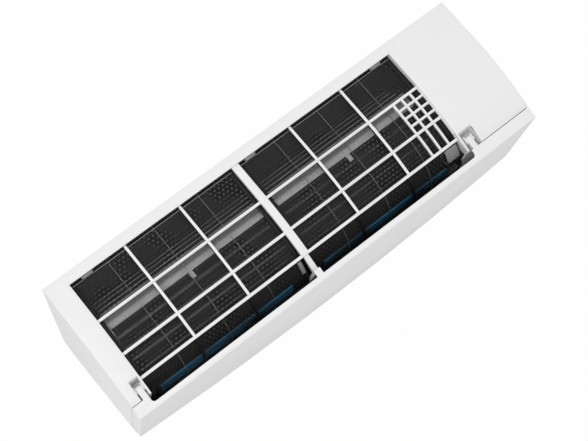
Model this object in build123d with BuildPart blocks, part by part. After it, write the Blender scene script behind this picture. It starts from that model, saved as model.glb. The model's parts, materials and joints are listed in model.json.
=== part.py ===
from build123d import *
import os
from math import cos, hypot, radians, sin, sqrt

os.makedirs("parts", exist_ok=True)

# Wall-hung indoor unit of a mini split air conditioner. Millimetres.
# X runs along the unit, -Y points into the room, +Z is up. The origin is the middle
# of the wall plate's back face, which lies on the wall.
# Cross-sections are written as (d, h): d is the distance from the wall and h is the
# drop below the top back edge.

# Overall size
width = 800.0
depth = 243.0
height = 287.0
wall = 2.5
wall_standoff = 1.0
top = height / 2
half = width / 2

# Crowned top of the cabinet
crown_start = 70.0
crown_level = 2.0
seam_inset = 22.0
seam_drop = 34.5
seam_lean = 0.121
lower_corner_h = height - 49.0
underside_slope = 0.1685
heel_d = 28.0
heel_rise = 25.0
foot_d = depth - 57.0
nose_d = depth - 29.5

# Intake grille: equal clear bays on each side of one wide bar, and the service bay at the right
side_margin = 36.5
service_margin = 131.0
bays_each_side = 3
bar = 4.6
centre_bar = 12.9
bay = (width - side_margin - service_margin - centre_bar - 2 * (bays_each_side - 1) * bar)
bay = bay / (2 * bays_each_side)
grille_drop = 5.0
grille_thick = 5.0
open_back = 19.6
skirt_set = 3.0
long_bar_at = (depth - 152.0, depth - 91.0, depth - 48.4)
window_foot = height - 75.0
side_slope = (4.5, 0.9)
guard_columns = 3
guard_rows = 4
guard_pitch = 17.1
guard_bar = 3.4

# Front panel
panel_wall = 2.5
panel_gap = 1.1
panel_bottom = height - 51.0
panel_front_h = 41.0
panel_lean = 0.108
panel_end_inset = 1.5
panel_bow = 10.9
lip_d = depth - 9.4
hinge_d = depth - 39.0
hinge_h = 38.0
pin_r = 2.5
pin_fit = 0.08
arm_width = 10.0
ear = 2.5
ear_gap = 0.4
notch_back = depth - 53.0
notch_depth = 30.0

# Filters
filter_drop = 11.0
filter_thick = 2.0
filter_edge = 7.0
filter_rib = 1.4
rib_share = 0.282
rib_shift = 2.0
filter_play = 0.6
mesh_thick = 0.4
layer_gap = 0.05
bend_start = depth - 78.0
bend_r = 76.3
bend_from = radians(-72.85)
bend_to = radians(-4.81)
run_slope = 0.115
filter_bottom_h = height - 82.0

# Coil
tube_r = 3.5
tube_fit = 0.05
tube_pitch = 21.0
slab_thick = 25.4
coil_margin = 13.0
end_plate = 1.2
tube_stub = 6.0

# Fan
fan_d = depth - 133.0
fan_h = height - 137.0
fan_r = 48.0
fan_inner_r = 37.0
fan_blades = 35
blade_thick = 1.2
fan_disc = 2.0
fan_sections = 8
shaft_r = 4.0
bearing_r = 9.0
bearing_long = 10.0

# Air outlet
duct_clear = 3.0
louver_pivot = (depth - 111.0, height - 31.0)
louver_thick = 3.0
louver_pin_r = 4.0
vane_count = 8
vane_reach = 34.0
vane_chord = 25.0
vane_thick = 1.6
vane_root = 8.0
vane_pin_r = 2.0
link_r = 1.5

# Service bay
motor_r = 44.0
motor_long = 62.0
box_wide = 86.0
box_deep = 32.0
liquid_r = 3.175
gas_r = 4.76
pipe_wall = 0.8

# Wall plate
plate_wide = width - 160.0
plate_high = 200.0
plate_thick = 1.2
plate_hole_r = 2.75
plate_hole_x = 500.0
plate_hole_z = 150.0

# Derived places
skirt_d = open_back - skirt_set
seam_d = depth - seam_inset
crown_r = ((seam_d - crown_start) ** 2 + (seam_drop - crown_level) ** 2)
crown_r = crown_r / (2 * (seam_drop - crown_level))
side_span = bays_each_side * bay + (bays_each_side - 1) * bar
open_left = -half + side_margin
centre_left = open_left + side_span
centre_right = centre_left + centre_bar
open_right = centre_right + side_span
end_wall_left = open_left + coil_margin - 7.5
end_wall_right = open_right - coil_margin
coil_left = end_wall_left + wall + 2.5
coil_right = end_wall_right - 6.0
duct_left = end_wall_left + wall
duct_right = end_wall_right


# Rear chassis
back_d = 11.0
duct_top = (fan_d - 40.0, fan_h + 55.0)
duct_end = (fan_d - 0.4, height - 13.0)
floor_front = duct_end[0] + 0.5
floor_gap = 0.4
outlet_back = floor_front - 2.1
louver_rear_d = floor_front + 3.4
recess_h = height - 75.0
shell_x = half - wall - 0.3


def sec(d, h):
    """Local (y, z) of a point at distance d from the wall and drop h."""
    return (-d, top - h)


def crown(d):
    """Drop of the cabinet's top surface at distance d from the wall."""
    if d <= crown_start:
        return crown_level * (d - wall_standoff) / (crown_start - wall_standoff)
    return crown_level + crown_r - sqrt(crown_r ** 2 - (d - crown_start) ** 2)


def seam(h):
    """Distance from the wall of the seam between the cabinet and the front panel."""
    return seam_d - seam_lean * (h - seam_drop)


def underside(d):
    """Drop of the underside at distance d from the wall."""
    return height - underside_slope * (d - heel_d)


def at_x(x):
    """Section plane across the unit at x."""
    return Plane.YZ.offset(x)


def polygon(points):
    """Closed face through (d, h) points, in the current sketch."""
    with BuildLine() as outline:
        Polyline([sec(d, h) for d, h in points], close=True)
    make_face(outline.edges())


def slab_box(x0, x1, d0, d1, h0, h1, mode=Mode.ADD):
    """Box between two x, two d and two h."""
    with BuildSketch(at_x(x0)) as face:
        polygon([(d0, h0), (d1, h0), (d1, h1), (d0, h1)])
    extrude(face.sketch, amount=x1 - x0, mode=mode)


def top_band(x0, x1, d0, d1, drop, thick, mode=Mode.ADD):
    """Strip of constant thickness that follows the crowned top."""
    points = [sec(d, crown(d) + drop) for d in (d0, (d0 + d1) / 2, d1)]
    lower = [sec(d, crown(d) + drop + thick) for d in (d0, (d0 + d1) / 2, d1)]
    with BuildSketch(at_x(x0)) as face:
        with BuildLine() as outline:
            if d0 < crown_start < d1:
                knee = sec(crown_start, crown_level + drop)
                low_knee = sec(crown_start, crown_level + drop + thick)
                mid_d = (crown_start + d1) / 2
                Line(points[0], knee)
                ThreePointArc(knee, sec(mid_d, crown(mid_d) + drop), points[2])
                Line(points[2], lower[2])
                ThreePointArc(lower[2], sec(mid_d, crown(mid_d) + drop + thick), low_knee)
                Line(low_knee, lower[0])
                Line(lower[0], points[0])
            elif d1 <= crown_start:
                Polyline([points[0], points[2], lower[2], lower[0]], close=True)
            else:
                ThreePointArc(*points)
                Line(points[2], lower[2])
                ThreePointArc(lower[2], lower[1], lower[0])
                Line(lower[0], points[0])
        make_face(outline.edges())
    extrude(face.sketch, amount=x1 - x0, mode=mode)


def save(piece, name):
    """Label a finished piece and write it."""
    piece.part.label = name
    export_step(piece.part, f"parts/{name}.step")


def cabinet_outline(inset, back_d):
    """Closed side profile of the cabinet, moved inward by inset."""
    corner_h = lower_corner_h + inset
    front_d = seam(lower_corner_h) - inset
    tip = sec(nose_d - 1.25 * inset, corner_h)
    tuck = sec(nose_d - 7.5 - 0.8 * inset, height - 34.5 - 0.8 * inset)
    foot = sec(foot_d, underside(foot_d) - inset)
    knee = sec(crown_start, crown_level + inset)
    seam_top = sec(seam_d - inset, crown(seam_d - inset) + inset)
    mid_d = (crown_start + seam_d - inset) / 2
    head = sec(back_d, crown(wall_standoff) + inset)
    with BuildLine() as outline:
        Line(head, knee)
        ThreePointArc(knee, sec(mid_d, crown(mid_d) + inset), seam_top)
        Polyline(seam_top, sec(front_d, corner_h), tip)
        ThreePointArc(tip, tuck, foot)
        if inset:
            Polyline(foot, sec(back_d, underside(back_d) - inset), head)
        else:
            heel = sec(heel_d, height)
            Line(foot, heel)
            ThreePointArc(heel, sec(heel_d * 0.3, height - heel_rise * 0.3), sec(back_d, height - heel_rise))
            Line(sec(back_d, height - heel_rise), head)
    make_face(outline.edges())


def side_wedge(x_flat, x_edge, d0, d1, deep):
    """Cut a shallow slope along the crowned top: from nothing at x_flat to its full depth at x_edge."""
    mid_d = (crown_start + d1) / 2
    ends = []
    for x, drop in ((x_flat, -0.05), (x_edge, deep)):
        with BuildSketch(at_x(x)) as face:
            with BuildLine() as outline:
                rims = []
                for rise in (-3.0, drop):
                    back, knee, mid, front = [sec(d, crown(d) + rise) for d in (d0, crown_start, mid_d, d1)]
                    Line(back, knee)
                    ThreePointArc(knee, mid, front)
                    rims.append((back, front))
                Line(rims[0][0], rims[1][0])
                Line(rims[0][1], rims[1][1])
            make_face(outline.edges())
        ends.append(face.sketch.face())
    loft(ends, ruled=True, mode=Mode.SUBTRACT)


# ---------------------------------------------------------------- cabinet
left_notch = (open_left - 19.0, open_left - 3.0)
right_notch = (open_right + 3.0, open_right + 30.0)

screw_x = (100.0 - half, (centre_left + centre_right) / 2, half - 200.0)
screw_h = height - 61.0
screw_r = 1.9
screw_play = 0.3


def strip_plane(x, h):
    """Plane on the front of the cabinet behind the panel, facing the room."""
    return Plane(origin=(x, *sec(seam(h), h)), x_dir=(1, 0, 0), z_dir=(0, -1, -seam_lean))


with BuildPart() as front_frame:
    with BuildSketch(at_x(-half)):
        cabinet_outline(0, wall_standoff)
    extrude(amount=width)
    ends = front_frame.faces().sort_by(Axis.X)
    rim = ends[0].edges() + ends[-1].edges()
    fillet(rim.filter_by(lambda e: e.center().Z > top - 20 and e.length > 60), 2.0)
    with BuildSketch(at_x(-half + wall)):
        cabinet_outline(wall, -10.0)
    extrude(amount=width - 2 * wall, mode=Mode.SUBTRACT)
    # open underside at the back, for the chassis floor
    slab_box(-half + wall, half - wall, -10, floor_front + floor_gap, height - heel_rise,
             height + 5, mode=Mode.SUBTRACT)
    # air outlet, intake and front window
    slab_box(duct_left - wall - 0.3, duct_right + wall + 0.3, outlet_back, depth, lower_corner_h + 0.5,
             height + 5, mode=Mode.SUBTRACT)
    slab_box(open_left, open_right, open_back, depth, -5, 70, mode=Mode.SUBTRACT)
    slab_box(open_left, open_right, notch_back - 10, depth, 0, window_foot, mode=Mode.SUBTRACT)
    # skirts that carry the filters at both sides and at the back
    for x0 in (open_left - wall, open_right):
        top_band(x0, x0 + wall, skirt_d - wall, notch_back - 4, wall - 0.5, 16)
    slab_box(open_left - wall, open_right + wall, skirt_d - wall, skirt_d, 1.5, 16)
    # the top slopes gently into both ends of the intake
    side_wedge(open_left - side_slope[0], open_left + 1, open_back, notch_back, side_slope[1])
    side_wedge(open_right + side_slope[0], open_right - 1, open_back, notch_back, side_slope[1])
    # hinge pockets at the front corners of the intake
    for x0, x1 in (left_notch, right_notch):
        slab_box(x0 - wall, x1 + wall, notch_back - wall, seam_d, crown(seam_d),
                 crown(notch_back) + notch_depth + wall)
        slab_box(x0 - wall, x1 + wall, notch_back - wall, notch_back + 3, crown(notch_back) + 1,
                 crown(notch_back) + notch_depth)
        slab_box(x0, x1, notch_back, depth, -5, crown(notch_back) + notch_depth,
                 mode=Mode.SUBTRACT)
    with BuildSketch(at_x(-half)):
        polygon([(seam_d, 0), (depth + 20, 0), (depth + 20, lower_corner_h),
                 (seam(lower_corner_h), lower_corner_h), (seam_d, seam_drop)])
    extrude(amount=width, mode=Mode.SUBTRACT)
    for x in screw_x:
        with BuildSketch(strip_plane(x, screw_h)):
            Circle(screw_r + screw_play)
        extrude(amount=-2 * wall, mode=Mode.SUBTRACT)

arm_centres = [sum(n) / 2 for n in (left_notch, right_notch)]
ear_inner = arm_width / 2 + ear_gap

with BuildPart() as hinge_ears:
    for xc in arm_centres:
        for side in (-1, 1):
            x0 = xc + side * (ear_inner + ear / 2) - ear / 2
            slab_box(x0, x0 + ear, hinge_d - 6, hinge_d + 6, hinge_h - 5,
                     crown(notch_back) + notch_depth)
    for xc in arm_centres:
        with BuildSketch(at_x(xc - 20)):
            with Locations(sec(hinge_d, hinge_h)):
                Circle(pin_r + pin_fit)
        extrude(amount=40, mode=Mode.SUBTRACT)
save(hinge_ears, "hinge_ears")
save(front_frame, "front_frame")

# ---------------------------------------------------------------- intake grille
lengthwise = (open_left, open_right)
cross_bars = []
for start in (open_left, centre_right):
    for i in range(1, bays_each_side):
        x = start + i * bay + (i - 1) * bar
        cross_bars.append((x, x + bar))
grille_front = long_bar_at[-1] + bar / 2
rib_mid = depth - 17.0

guard_x = open_right - guard_columns * guard_pitch
row_pitch = (long_bar_at[1] - long_bar_at[0]) / guard_rows


def window(x0, x1, d0, d1):
    """Rectangle between two x and two d, seen from above."""
    with Locations(((x0 + x1) / 2, -(d0 + d1) / 2)):
        Rectangle(x1 - x0, d1 - d0)


with BuildPart() as intake_grille:
    top_band(*lengthwise, skirt_d, grille_front, grille_drop - 2, grille_thick + 2)
    # only the wide middle bar keeps its full height
    for x0, x1 in ((open_left - 1, centre_left), (centre_right, open_right + 1)):
        top_band(x0, x1, skirt_d - 1, grille_front + 1, 0, grille_drop, mode=Mode.SUBTRACT)
    rows = [skirt_d - 1] + [d + s * bar / 2 for d in long_bar_at for s in (-1, 1)][:-1]
    edges = [open_left] + [x for pair in cross_bars[:2] for x in pair] + [centre_left]
    edges += [centre_right] + [x for pair in cross_bars[2:] for x in pair]
    edges += [guard_x - guard_bar / 2]
    with BuildSketch(Plane.XY.offset(top - 80)) as bays:
        for d0, d1 in zip(rows[::2], rows[1::2]):
            for x0, x1 in zip(edges[::2], edges[1::2]):
                window(x0, x1, d0, d1)
        window(guard_x - guard_bar / 2, open_right, rows[0], rows[1])
        # finger guard over the end of the coil
        for i in range(guard_columns):
            x0 = guard_x + i * guard_pitch + guard_bar / 2
            x1 = min(x0 + guard_pitch - guard_bar, open_right)
            window(x0, x1, rows[4], rows[5])
            for j in range(guard_rows):
                d0 = rows[1] + bar / 2 + j * row_pitch
                d0 += bar / 2 if j == 0 else guard_bar / 2
                d1 = rows[1] + bar / 2 + (j + 1) * row_pitch
                d1 -= bar / 2 if j == guard_rows - 1 else guard_bar / 2
                window(x0, x1, d0, d1)
    extrude(bays.sketch, amount=100, mode=Mode.SUBTRACT)
    # the wide middle bar runs on down the front window between the filters
    slab_mid = (centre_left + 2, centre_right - 2)
    with BuildSketch(at_x(slab_mid[0])) as rib:
        rib_end = seam(window_foot)
        polygon([(grille_front - 4, crown(grille_front) + 4.5), (rib_mid, 44), (rib_mid - 1, 52),
                 (rib_end + 1, window_foot), (rib_end - 3.5, window_foot), (rib_mid - 7, 54),
                 (grille_front - 4, crown(grille_front) + 9)])
    extrude(rib.sketch, amount=slab_mid[1] - slab_mid[0])
save(intake_grille, "intake_grille")

# ---------------------------------------------------------------- front panel
def face_d(h):
    """Distance from the wall of the panel's front at its two ends."""
    return depth - panel_end_inset - panel_lean * (h - panel_front_h)


def face_bow(h):
    """How far the panel's front swells forward at mid length."""
    share = (h - panel_front_h) / (panel_bottom - panel_front_h)
    return panel_end_inset + (panel_bow - panel_end_inset) * share


def flange_h(d):
    """Drop of the panel's top flange at distance d from the wall."""
    slope = (panel_front_h - crown(seam_d)) / (depth - panel_end_inset - seam_d)
    return crown(seam_d) + slope * (d - seam_d)


def panel_blank(inset):
    """Solid behind the panel's bowed front, moved inward by inset."""
    ends = []
    for h in (28.0, panel_bottom + 8.0):
        with BuildSketch(Plane.XY.offset(top - h)) as face:
            with BuildLine() as outline:
                x = half - inset
                y = inset - face_d(h)
                Polyline((-x, y), (-x, -notch_back), (x, -notch_back), (x, y))
                ThreePointArc((x, y), (0, y - face_bow(h)), (-x, y))
            make_face(outline.edges())
        ends.append(face.sketch.face())
    loft(ends, ruled=True)


def panel_section(inset, back):
    """Side profile of the panel tray, moved inward by inset at the top and bottom."""
    edge_d = seam_d + panel_gap + back
    out_d = depth + 20
    foot_d = seam(panel_bottom) + panel_gap + back
    polygon([(edge_d, flange_h(edge_d) + inset), (out_d, flange_h(out_d) + inset),
             (out_d, panel_bottom - inset), (foot_d, panel_bottom - inset)])


with BuildPart() as panel_hollow:
    panel_blank(panel_wall)
    with BuildSketch(at_x(-half - 1)):
        panel_section(panel_wall, -8.0)
    extrude(amount=width + 2, mode=Mode.INTERSECT)

flange_cut = (left_notch[1] - 3.5, right_notch[0] + 4.0)
tab_wide = 12.0
arm_back = 5.0
with BuildPart() as front_panel:
    panel_blank(0)
    with BuildSketch(at_x(-half - 1)):
        panel_section(0, 0)
    extrude(amount=width + 2, mode=Mode.INTERSECT)
    add(panel_hollow.part, mode=Mode.SUBTRACT)
    # the top flange is cut back along the intake
    with BuildSketch(Plane.XY.offset(top - 60)):
        with Locations((sum(flange_cut) / 2, -(seam_d - 12 + lip_d) / 2)):
            RectangleRounded(flange_cut[1] - flange_cut[0], lip_d - seam_d + 12, 5.9)
    extrude(amount=70, mode=Mode.SUBTRACT)
    # hinge arms with their pins
    for xc in arm_centres:
        with BuildSketch(at_x(xc - arm_width / 2)):
            with Locations(sec(hinge_d, hinge_h)):
                Circle(arm_back)
            polygon([(hinge_d, hinge_h - arm_back), (seam_d + 8, hinge_h - arm_back + 5.4),
                     (seam_d + 8, hinge_h + arm_back + 4), (hinge_d, hinge_h + arm_back)])
        extrude(amount=arm_width)
        with BuildSketch(at_x(xc - ear_inner - ear + 0.2)):
            with Locations(sec(hinge_d, hinge_h)):
                Circle(pin_r)
        extrude(amount=2 * (ear_inner + ear - 0.2))
    # middle tab over the end of the wide bar
    tab_x = (centre_left + centre_right) / 2 - tab_wide / 2
    with BuildSketch(at_x(tab_x)):
        polygon([(d, flange_h(d) + h) for d, h in
                 ((seam_d + 2, 0.2), (lip_d + 2, 0.2), (lip_d + 2, panel_wall), (seam_d + 2, panel_wall))])
    extrude(amount=tab_wide)
save(front_panel, "front_panel")

# ---------------------------------------------------------------- filters
lead = (cos(bend_from), sin(bend_from))
middle = (cos((bend_from + bend_to) / 2), sin((bend_from + bend_to) / 2))
tail = (cos(bend_to), sin(bend_to))
bend_centre = (bend_start - bend_r * lead[0], crown(bend_start) + filter_drop - bend_r * lead[1])


def bend_point(unit, inset):
    """Point on the filter's front bend, moved inward by inset."""
    return (bend_centre[0] + (bend_r - inset) * unit[0], bend_centre[1] + (bend_r - inset) * unit[1])


def run_point(h, inset):
    """Point on the filter's straight front run."""
    d, start_h = bend_point(tail, 0)
    return (d - run_slope * (h - start_h) - inset, h)


filter_back = skirt_d + filter_play


def filter_band(x0, x1, inset, thick, back=filter_back, foot=filter_bottom_h):
    """Strip along the filter's whole curved path."""
    knee_mid = (crown_start + bend_start) / 2
    with BuildSketch(at_x(x0)) as face:
        with BuildLine() as outline:
            rims = []
            for side in (inset, inset + thick):
                start = sec(back, crown(back) + filter_drop + side)
                knee = sec(crown_start, crown_level + filter_drop + side)
                over = sec(knee_mid, crown(knee_mid) + filter_drop + side)
                lead_in = sec(*bend_point(lead, side))
                lead_out = sec(*bend_point(tail, side))
                end = sec(*run_point(foot, side))
                Line(start, knee)
                ThreePointArc(knee, over, lead_in)
                ThreePointArc(lead_in, sec(*bend_point(middle, side)), lead_out)
                Line(lead_out, end)
                rims.append((start, end))
            Line(rims[0][0], rims[1][0])
            Line(rims[0][1], rims[1][1])
        make_face(outline.edges())
    extrude(face.sketch, amount=x1 - x0)


def bend_band(x0, x1, inset, thick, h0, h1):
    """Strip along the lower part of the filter's bend and the start of its front run."""
    with BuildSketch(at_x(x0)) as face:
        with BuildLine() as outline:
            rims = []
            for side in (inset, inset + thick):
                radius = bend_r - side
                first = (h0 - bend_centre[1]) / radius
                half_way = (first + tail[1]) / 2
                a = (sqrt(1 - first ** 2), first)
                b = (sqrt(1 - half_way ** 2), half_way)
                start = sec(*bend_point(a, side))
                join = sec(*bend_point(tail, side))
                end = sec(*run_point(h1, side))
                ThreePointArc(start, sec(*bend_point(b, side)), join)
                Line(join, end)
                rims.append((start, end))
            Line(rims[0][0], rims[1][0])
            Line(rims[0][1], rims[1][1])
        make_face(outline.edges())
    extrude(face.sketch, amount=x1 - x0)


def filter_frame(x0, x1, bars, shift=0.0):
    """Edges, end bars and ribs of one filter; shift moves its fine ribs along."""
    filter_band(x0, x0 + filter_edge, 0, filter_thick)
    filter_band(x1 - filter_edge, x1, 0, filter_thick)
    for b0, b1 in bars:
        mid = (b0 + b1) / 2
        filter_band(mid - bar / 2, mid + bar / 2, 0, filter_thick)
    # three fine ribs, one in the middle and one at the same distance on each side of it
    for step in (-1, 0, 1):
        mid = (x0 + x1) / 2 + shift + step * rib_share * (x1 - x0)
        filter_band(mid - filter_rib / 2, mid + filter_rib / 2, 0, filter_thick)
    slab_box(x0, x1, filter_back, filter_back + 6, crown(filter_back) + filter_drop + 0.2,
             crown(filter_back) + filter_drop + filter_thick)
    for h in (bend_centre[1] + 12, filter_bottom_h):
        p = run_point(h, 0)
        q = run_point(h - 6, 0)
        with BuildSketch(at_x(x0)) as face:
            polygon([p, q, (q[0] - filter_thick, q[1]), (p[0] - filter_thick, p[1])])
        extrude(face.sketch, amount=x1 - x0)


left_filter = (open_left + filter_play, centre_left - filter_play)
right_filter = (centre_right + filter_play, open_right - filter_play)
left_bars = cross_bars[:bays_each_side - 1]
right_bars = cross_bars[bays_each_side - 1:]

with BuildPart() as filter_frame_left:
    filter_frame(*left_filter, left_bars)
save(filter_frame_left, "filter_frame_left")

with BuildPart() as filter_frame_right:
    filter_frame(*right_filter, right_bars, rib_shift)
save(filter_frame_right, "filter_frame_right")

mesh_inset = filter_thick + layer_gap
with BuildPart() as filter_mesh_left:
    filter_band(left_filter[0] + 5, left_filter[1] - 5, mesh_inset, mesh_thick)
save(filter_mesh_left, "filter_mesh_left")

with BuildPart() as filter_mesh_right:
    filter_band(right_filter[0] + 5, right_filter[1] - 5, mesh_inset, mesh_thick)
save(filter_mesh_right, "filter_mesh_right")


def bend_sheet(x0, x1, inset, thick, h0, h1):
    """Strip along a stretch of the filter's bend."""
    with BuildSketch(at_x(x0)) as face:
        with BuildLine() as outline:
            rims = []
            for side in (inset, inset + thick):
                turns = [(h - bend_centre[1]) / (bend_r - side) for h in (h0, (h0 + h1) / 2, h1)]
                rim = [sec(*bend_point((sqrt(1 - t ** 2), t), side)) for t in turns]
                ThreePointArc(*rim)
                rims.append(rim)
            Line(rims[0][0], rims[1][0])
            Line(rims[0][2], rims[1][2])
        make_face(outline.edges())
    extrude(face.sketch, amount=x1 - x0)


# clear pull tabs at the back edge of the filters
clip_gap = 0.3
clip_thick = 1.0
clip_h = (43.0, 62.0)
clips = ((left_filter[1] - 9.0, left_filter[1] - 2.0), (right_filter[1] - 27.0, right_filter[1] - 2.0))
tab_half = 12.5
tab_tip = 8.5
tab_back = filter_back + 0.5
tab_front = filter_back + 6.0
tab_head = 5.5
tab_foot = crown(filter_back) + filter_drop + 0.2
tab_centres = (left_filter[0] + 31.0, right_filter[0] + 22.5, right_filter[1] - 28.5)
with BuildPart() as filter_tabs:
    for x in tab_centres:
        with BuildSketch(Plane.XY.offset(top - tab_foot)):
            with BuildLine():
                Polyline((x - tab_half, -tab_back), (x + tab_half, -tab_back), (x + tab_tip, -tab_front),
                         (x - tab_tip, -tab_front), close=True)
            make_face()
        extrude(amount=tab_foot - tab_head)
    fillet(filter_tabs.edges().filter_by(Axis.Z), 2.0)
    # clips over the bend at the right end of each filter
    for x0, x1 in clips:
        bend_sheet(x0, x1, -clip_gap - clip_thick, clip_thick, *clip_h)
save(filter_tabs, "filter_tabs")

# one long purifying cartridge behind the bend of each filter
cartridge_margin = 21.5
cartridge_end = 30.0
cartridges = [(x + cartridge_margin, x + side_span - cartridge_end) for x in (open_left, centre_right)]
cartridge_h = (76.0, 118.0)
cartridge_inset = mesh_inset + mesh_thick + 0.3
cartridge_thick = 2.6
with BuildPart() as purifier_strips:
    for x0, x1 in cartridges:
        bend_band(x0, x1, cartridge_inset, cartridge_thick, *cartridge_h)
save(purifier_strips, "purifier_strips")

# ---------------------------------------------------------------- coil
fan_centre = (fan_d, fan_h)
rear_slab = ((fan_d - 34.0, 29.0), (back_d + 13.0, fan_h - 50.0))
upper_slab = ((fan_d + 2.0, 27.0), (depth - 55.0, 80.0))
lower_slab = ((depth - 34.2, 94.0), (seam(filter_bottom_h) - 4.87, filter_bottom_h - 1.0))


def slab_axes(slab):
    """Length, direction along the slab and direction through it toward the fan."""
    (d0, h0), (d1, h1) = slab
    length = hypot(d1 - d0, h1 - h0)
    along = ((d1 - d0) / length, (h1 - h0) / length)
    through = (-along[1], along[0])
    if (fan_d - d0) * through[0] + (fan_h - h0) * through[1] < 0:
        through = (along[1], -along[0])
    return length, along, through


def slab_point(slab, s, t):
    """Point at s along a slab and t through it."""
    _, along, through = slab_axes(slab)
    return (slab[0][0] + s * along[0] + t * through[0], slab[0][1] + s * along[1] + t * through[1])


def slab_outline(slab, margin=0.0):
    """Corners of a slab's section, grown by margin."""
    length = slab_axes(slab)[0]
    return [slab_point(slab, s, t) for s, t in
            ((-margin, -margin), (length + margin, -margin),
             (length + margin, slab_thick + margin), (-margin, slab_thick + margin))]


def tube_rows(slab):
    """Tube centres of a slab: one (outer, inner) pair for each pitch."""
    length = slab_axes(slab)[0]
    count = int(length // tube_pitch)
    first = (length - (count - 1) * tube_pitch) / 2
    return [tuple(slab_point(slab, first + i * tube_pitch, slab_thick * share) for share in (0.25, 0.75))
            for i in range(count)]


def fin_pack(slab):
    """Stack of fins with its tube holes."""
    with BuildSketch(at_x(coil_left)) as face:
        polygon(slab_outline(slab))
        for pair in tube_rows(slab):
            for p in pair:
                with Locations(sec(*p)):
                    Circle(tube_r + tube_fit, mode=Mode.SUBTRACT)
    extrude(face.sketch, amount=coil_right - coil_left)


with BuildPart() as coil_rear:
    fin_pack(rear_slab)
save(coil_rear, "coil_rear")

with BuildPart() as coil_front_upper:
    fin_pack(upper_slab)
save(coil_front_upper, "coil_front_upper")

with BuildPart() as coil_front_lower:
    fin_pack(lower_slab)
save(coil_front_lower, "coil_front_lower")

slabs = (rear_slab, upper_slab, lower_slab)
with BuildPart() as coil_end_plates:
    for x0 in (coil_left - end_plate, coil_right):
        for slab in slabs:
            with BuildSketch(at_x(x0)) as face:
                polygon(slab_outline(slab, 0.8))
                for pair in tube_rows(slab):
                    for p in pair:
                        with Locations(sec(*p)):
                            Circle(tube_r + tube_fit, mode=Mode.SUBTRACT)
            extrude(face.sketch, amount=end_plate)
save(coil_end_plates, "coil_end_plates")


def u_tube(p, q, x_open, x_bend, radius):
    """Tube from p at x_open to x_bend, round a half turn and back to q."""
    reach = hypot(q[0] - p[0], q[1] - p[1]) / 2
    mid = ((p[0] + q[0]) / 2, (p[1] + q[1]) / 2)
    side = Vector(0, -(q[0] - p[0]), -(q[1] - p[1])).normalized()
    y, z = sec(*mid)
    plane = Plane(origin=(0, y, z), x_dir=(1, 0, 0), z_dir=Vector(1, 0, 0).cross(side))
    bulge = reach if x_bend > x_open else -reach
    with BuildLine(plane) as path:
        Line((x_open, -reach), (x_bend, -reach))
        ThreePointArc((x_bend, -reach), (x_bend + bulge, 0), (x_bend, reach))
        Line((x_bend, reach), (x_open, reach))
    with BuildSketch(at_x(x_open)) as ring:
        with Locations(sec(*p)):
            Circle(radius)
    sweep(ring.sketch, path=path.wire())


# the circuit starts at the foot of the rear slab and ends at the foot of the lower one
circuit = tube_rows(rear_slab)[::-1] + tube_rows(upper_slab) + tube_rows(lower_slab)
tube_open = coil_right + end_plate + tube_stub
with BuildPart() as coil_tubes:
    # hairpins through the fins
    for outer, inner in circuit:
        u_tube(outer, inner, tube_open, coil_left - end_plate - tube_stub, tube_r)
    # return bends brazed onto their open ends
    for i in range(len(circuit) - 1):
        side = i % 2
        u_tube(circuit[i][side], circuit[i + 1][side], tube_open, tube_open + 3, tube_r)
save(coil_tubes, "coil_tubes")

# light cover strip over the gap between the rear and upper slabs
strip_h = 21.5
strip_d = (fan_d - 29.8, fan_d - 3.6)
strip_thick = 1.5
strip_over = 8.0
strip_tab = 7.5
seat_gap = 0.3
with BuildPart() as coil_top_strip:
    with BuildSketch(at_x(coil_left + seat_gap)):
        polygon([(strip_d[0], strip_h + 1), (strip_d[1], strip_h), (strip_d[1] + 3, strip_h + 2),
                 slab_point(upper_slab, -seat_gap, 0.6), slab_point(upper_slab, -seat_gap, 2.2),
                 (strip_d[1] + 0.5, strip_h + strip_thick + 1), (strip_d[1] - 1, strip_h + strip_thick),
                 (strip_d[0] + strip_thick, strip_h + 1 + strip_thick),
                 slab_point(rear_slab, -seat_gap, 2.6), slab_point(rear_slab, -seat_gap, 1.0)])
    extrude(amount=coil_right - coil_left - 2 * seat_gap)
    # its left end stands out over the end plates
    with BuildSketch(at_x(coil_left - strip_over)):
        polygon([(strip_d[0], strip_h + 1), (strip_d[1], strip_h), (strip_d[1] - 1, strip_h + strip_thick),
                 (strip_d[0] + strip_thick, strip_h + 1 + strip_thick)])
    extrude(amount=strip_over + 1)
    for x in (coil_left - strip_over, centre_left - 155.0, centre_right + 146.0):
        slab_box(x, x + strip_tab, strip_d[1] - 2, strip_d[1] + 14.6, strip_h + 0.2, strip_h + 1.4)
save(coil_top_strip, "coil_top_strip")

# ---------------------------------------------------------------- chassis
scroll_start = (fan_d - 50.0, fan_h - 29.0)
scroll_mid = (fan_d - 59.0, fan_h + 10.0)
gutter = (scroll_start[0] - 8.0, scroll_start[1] + 7.0)
coil_clear = slab_thick + 11.0


def away(p, gap):
    """Point moved away from the fan's axis by gap."""
    reach = hypot(p[0] - fan_d, p[1] - fan_h)
    return (p[0] + (p[0] - fan_d) / reach * gap, p[1] + (p[1] - fan_h) / reach * gap)


duct_along = Vector(duct_end[0] - duct_top[0], duct_end[1] - duct_top[1]).normalized()
duct_out = Vector(duct_along.Y, -duct_along.X)


def duct_point(s, n):
    """Point at s along the duct's rear wall and n in front of it."""
    return (duct_top[0] + s * duct_along.X + n * duct_out.X,
            duct_top[1] + s * duct_along.Y + n * duct_out.Y)


def along_slab(slab, share, t):
    """Point at a share of a slab's length, and t through it."""
    return slab_point(slab, share * slab_axes(slab)[0], t)


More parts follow.
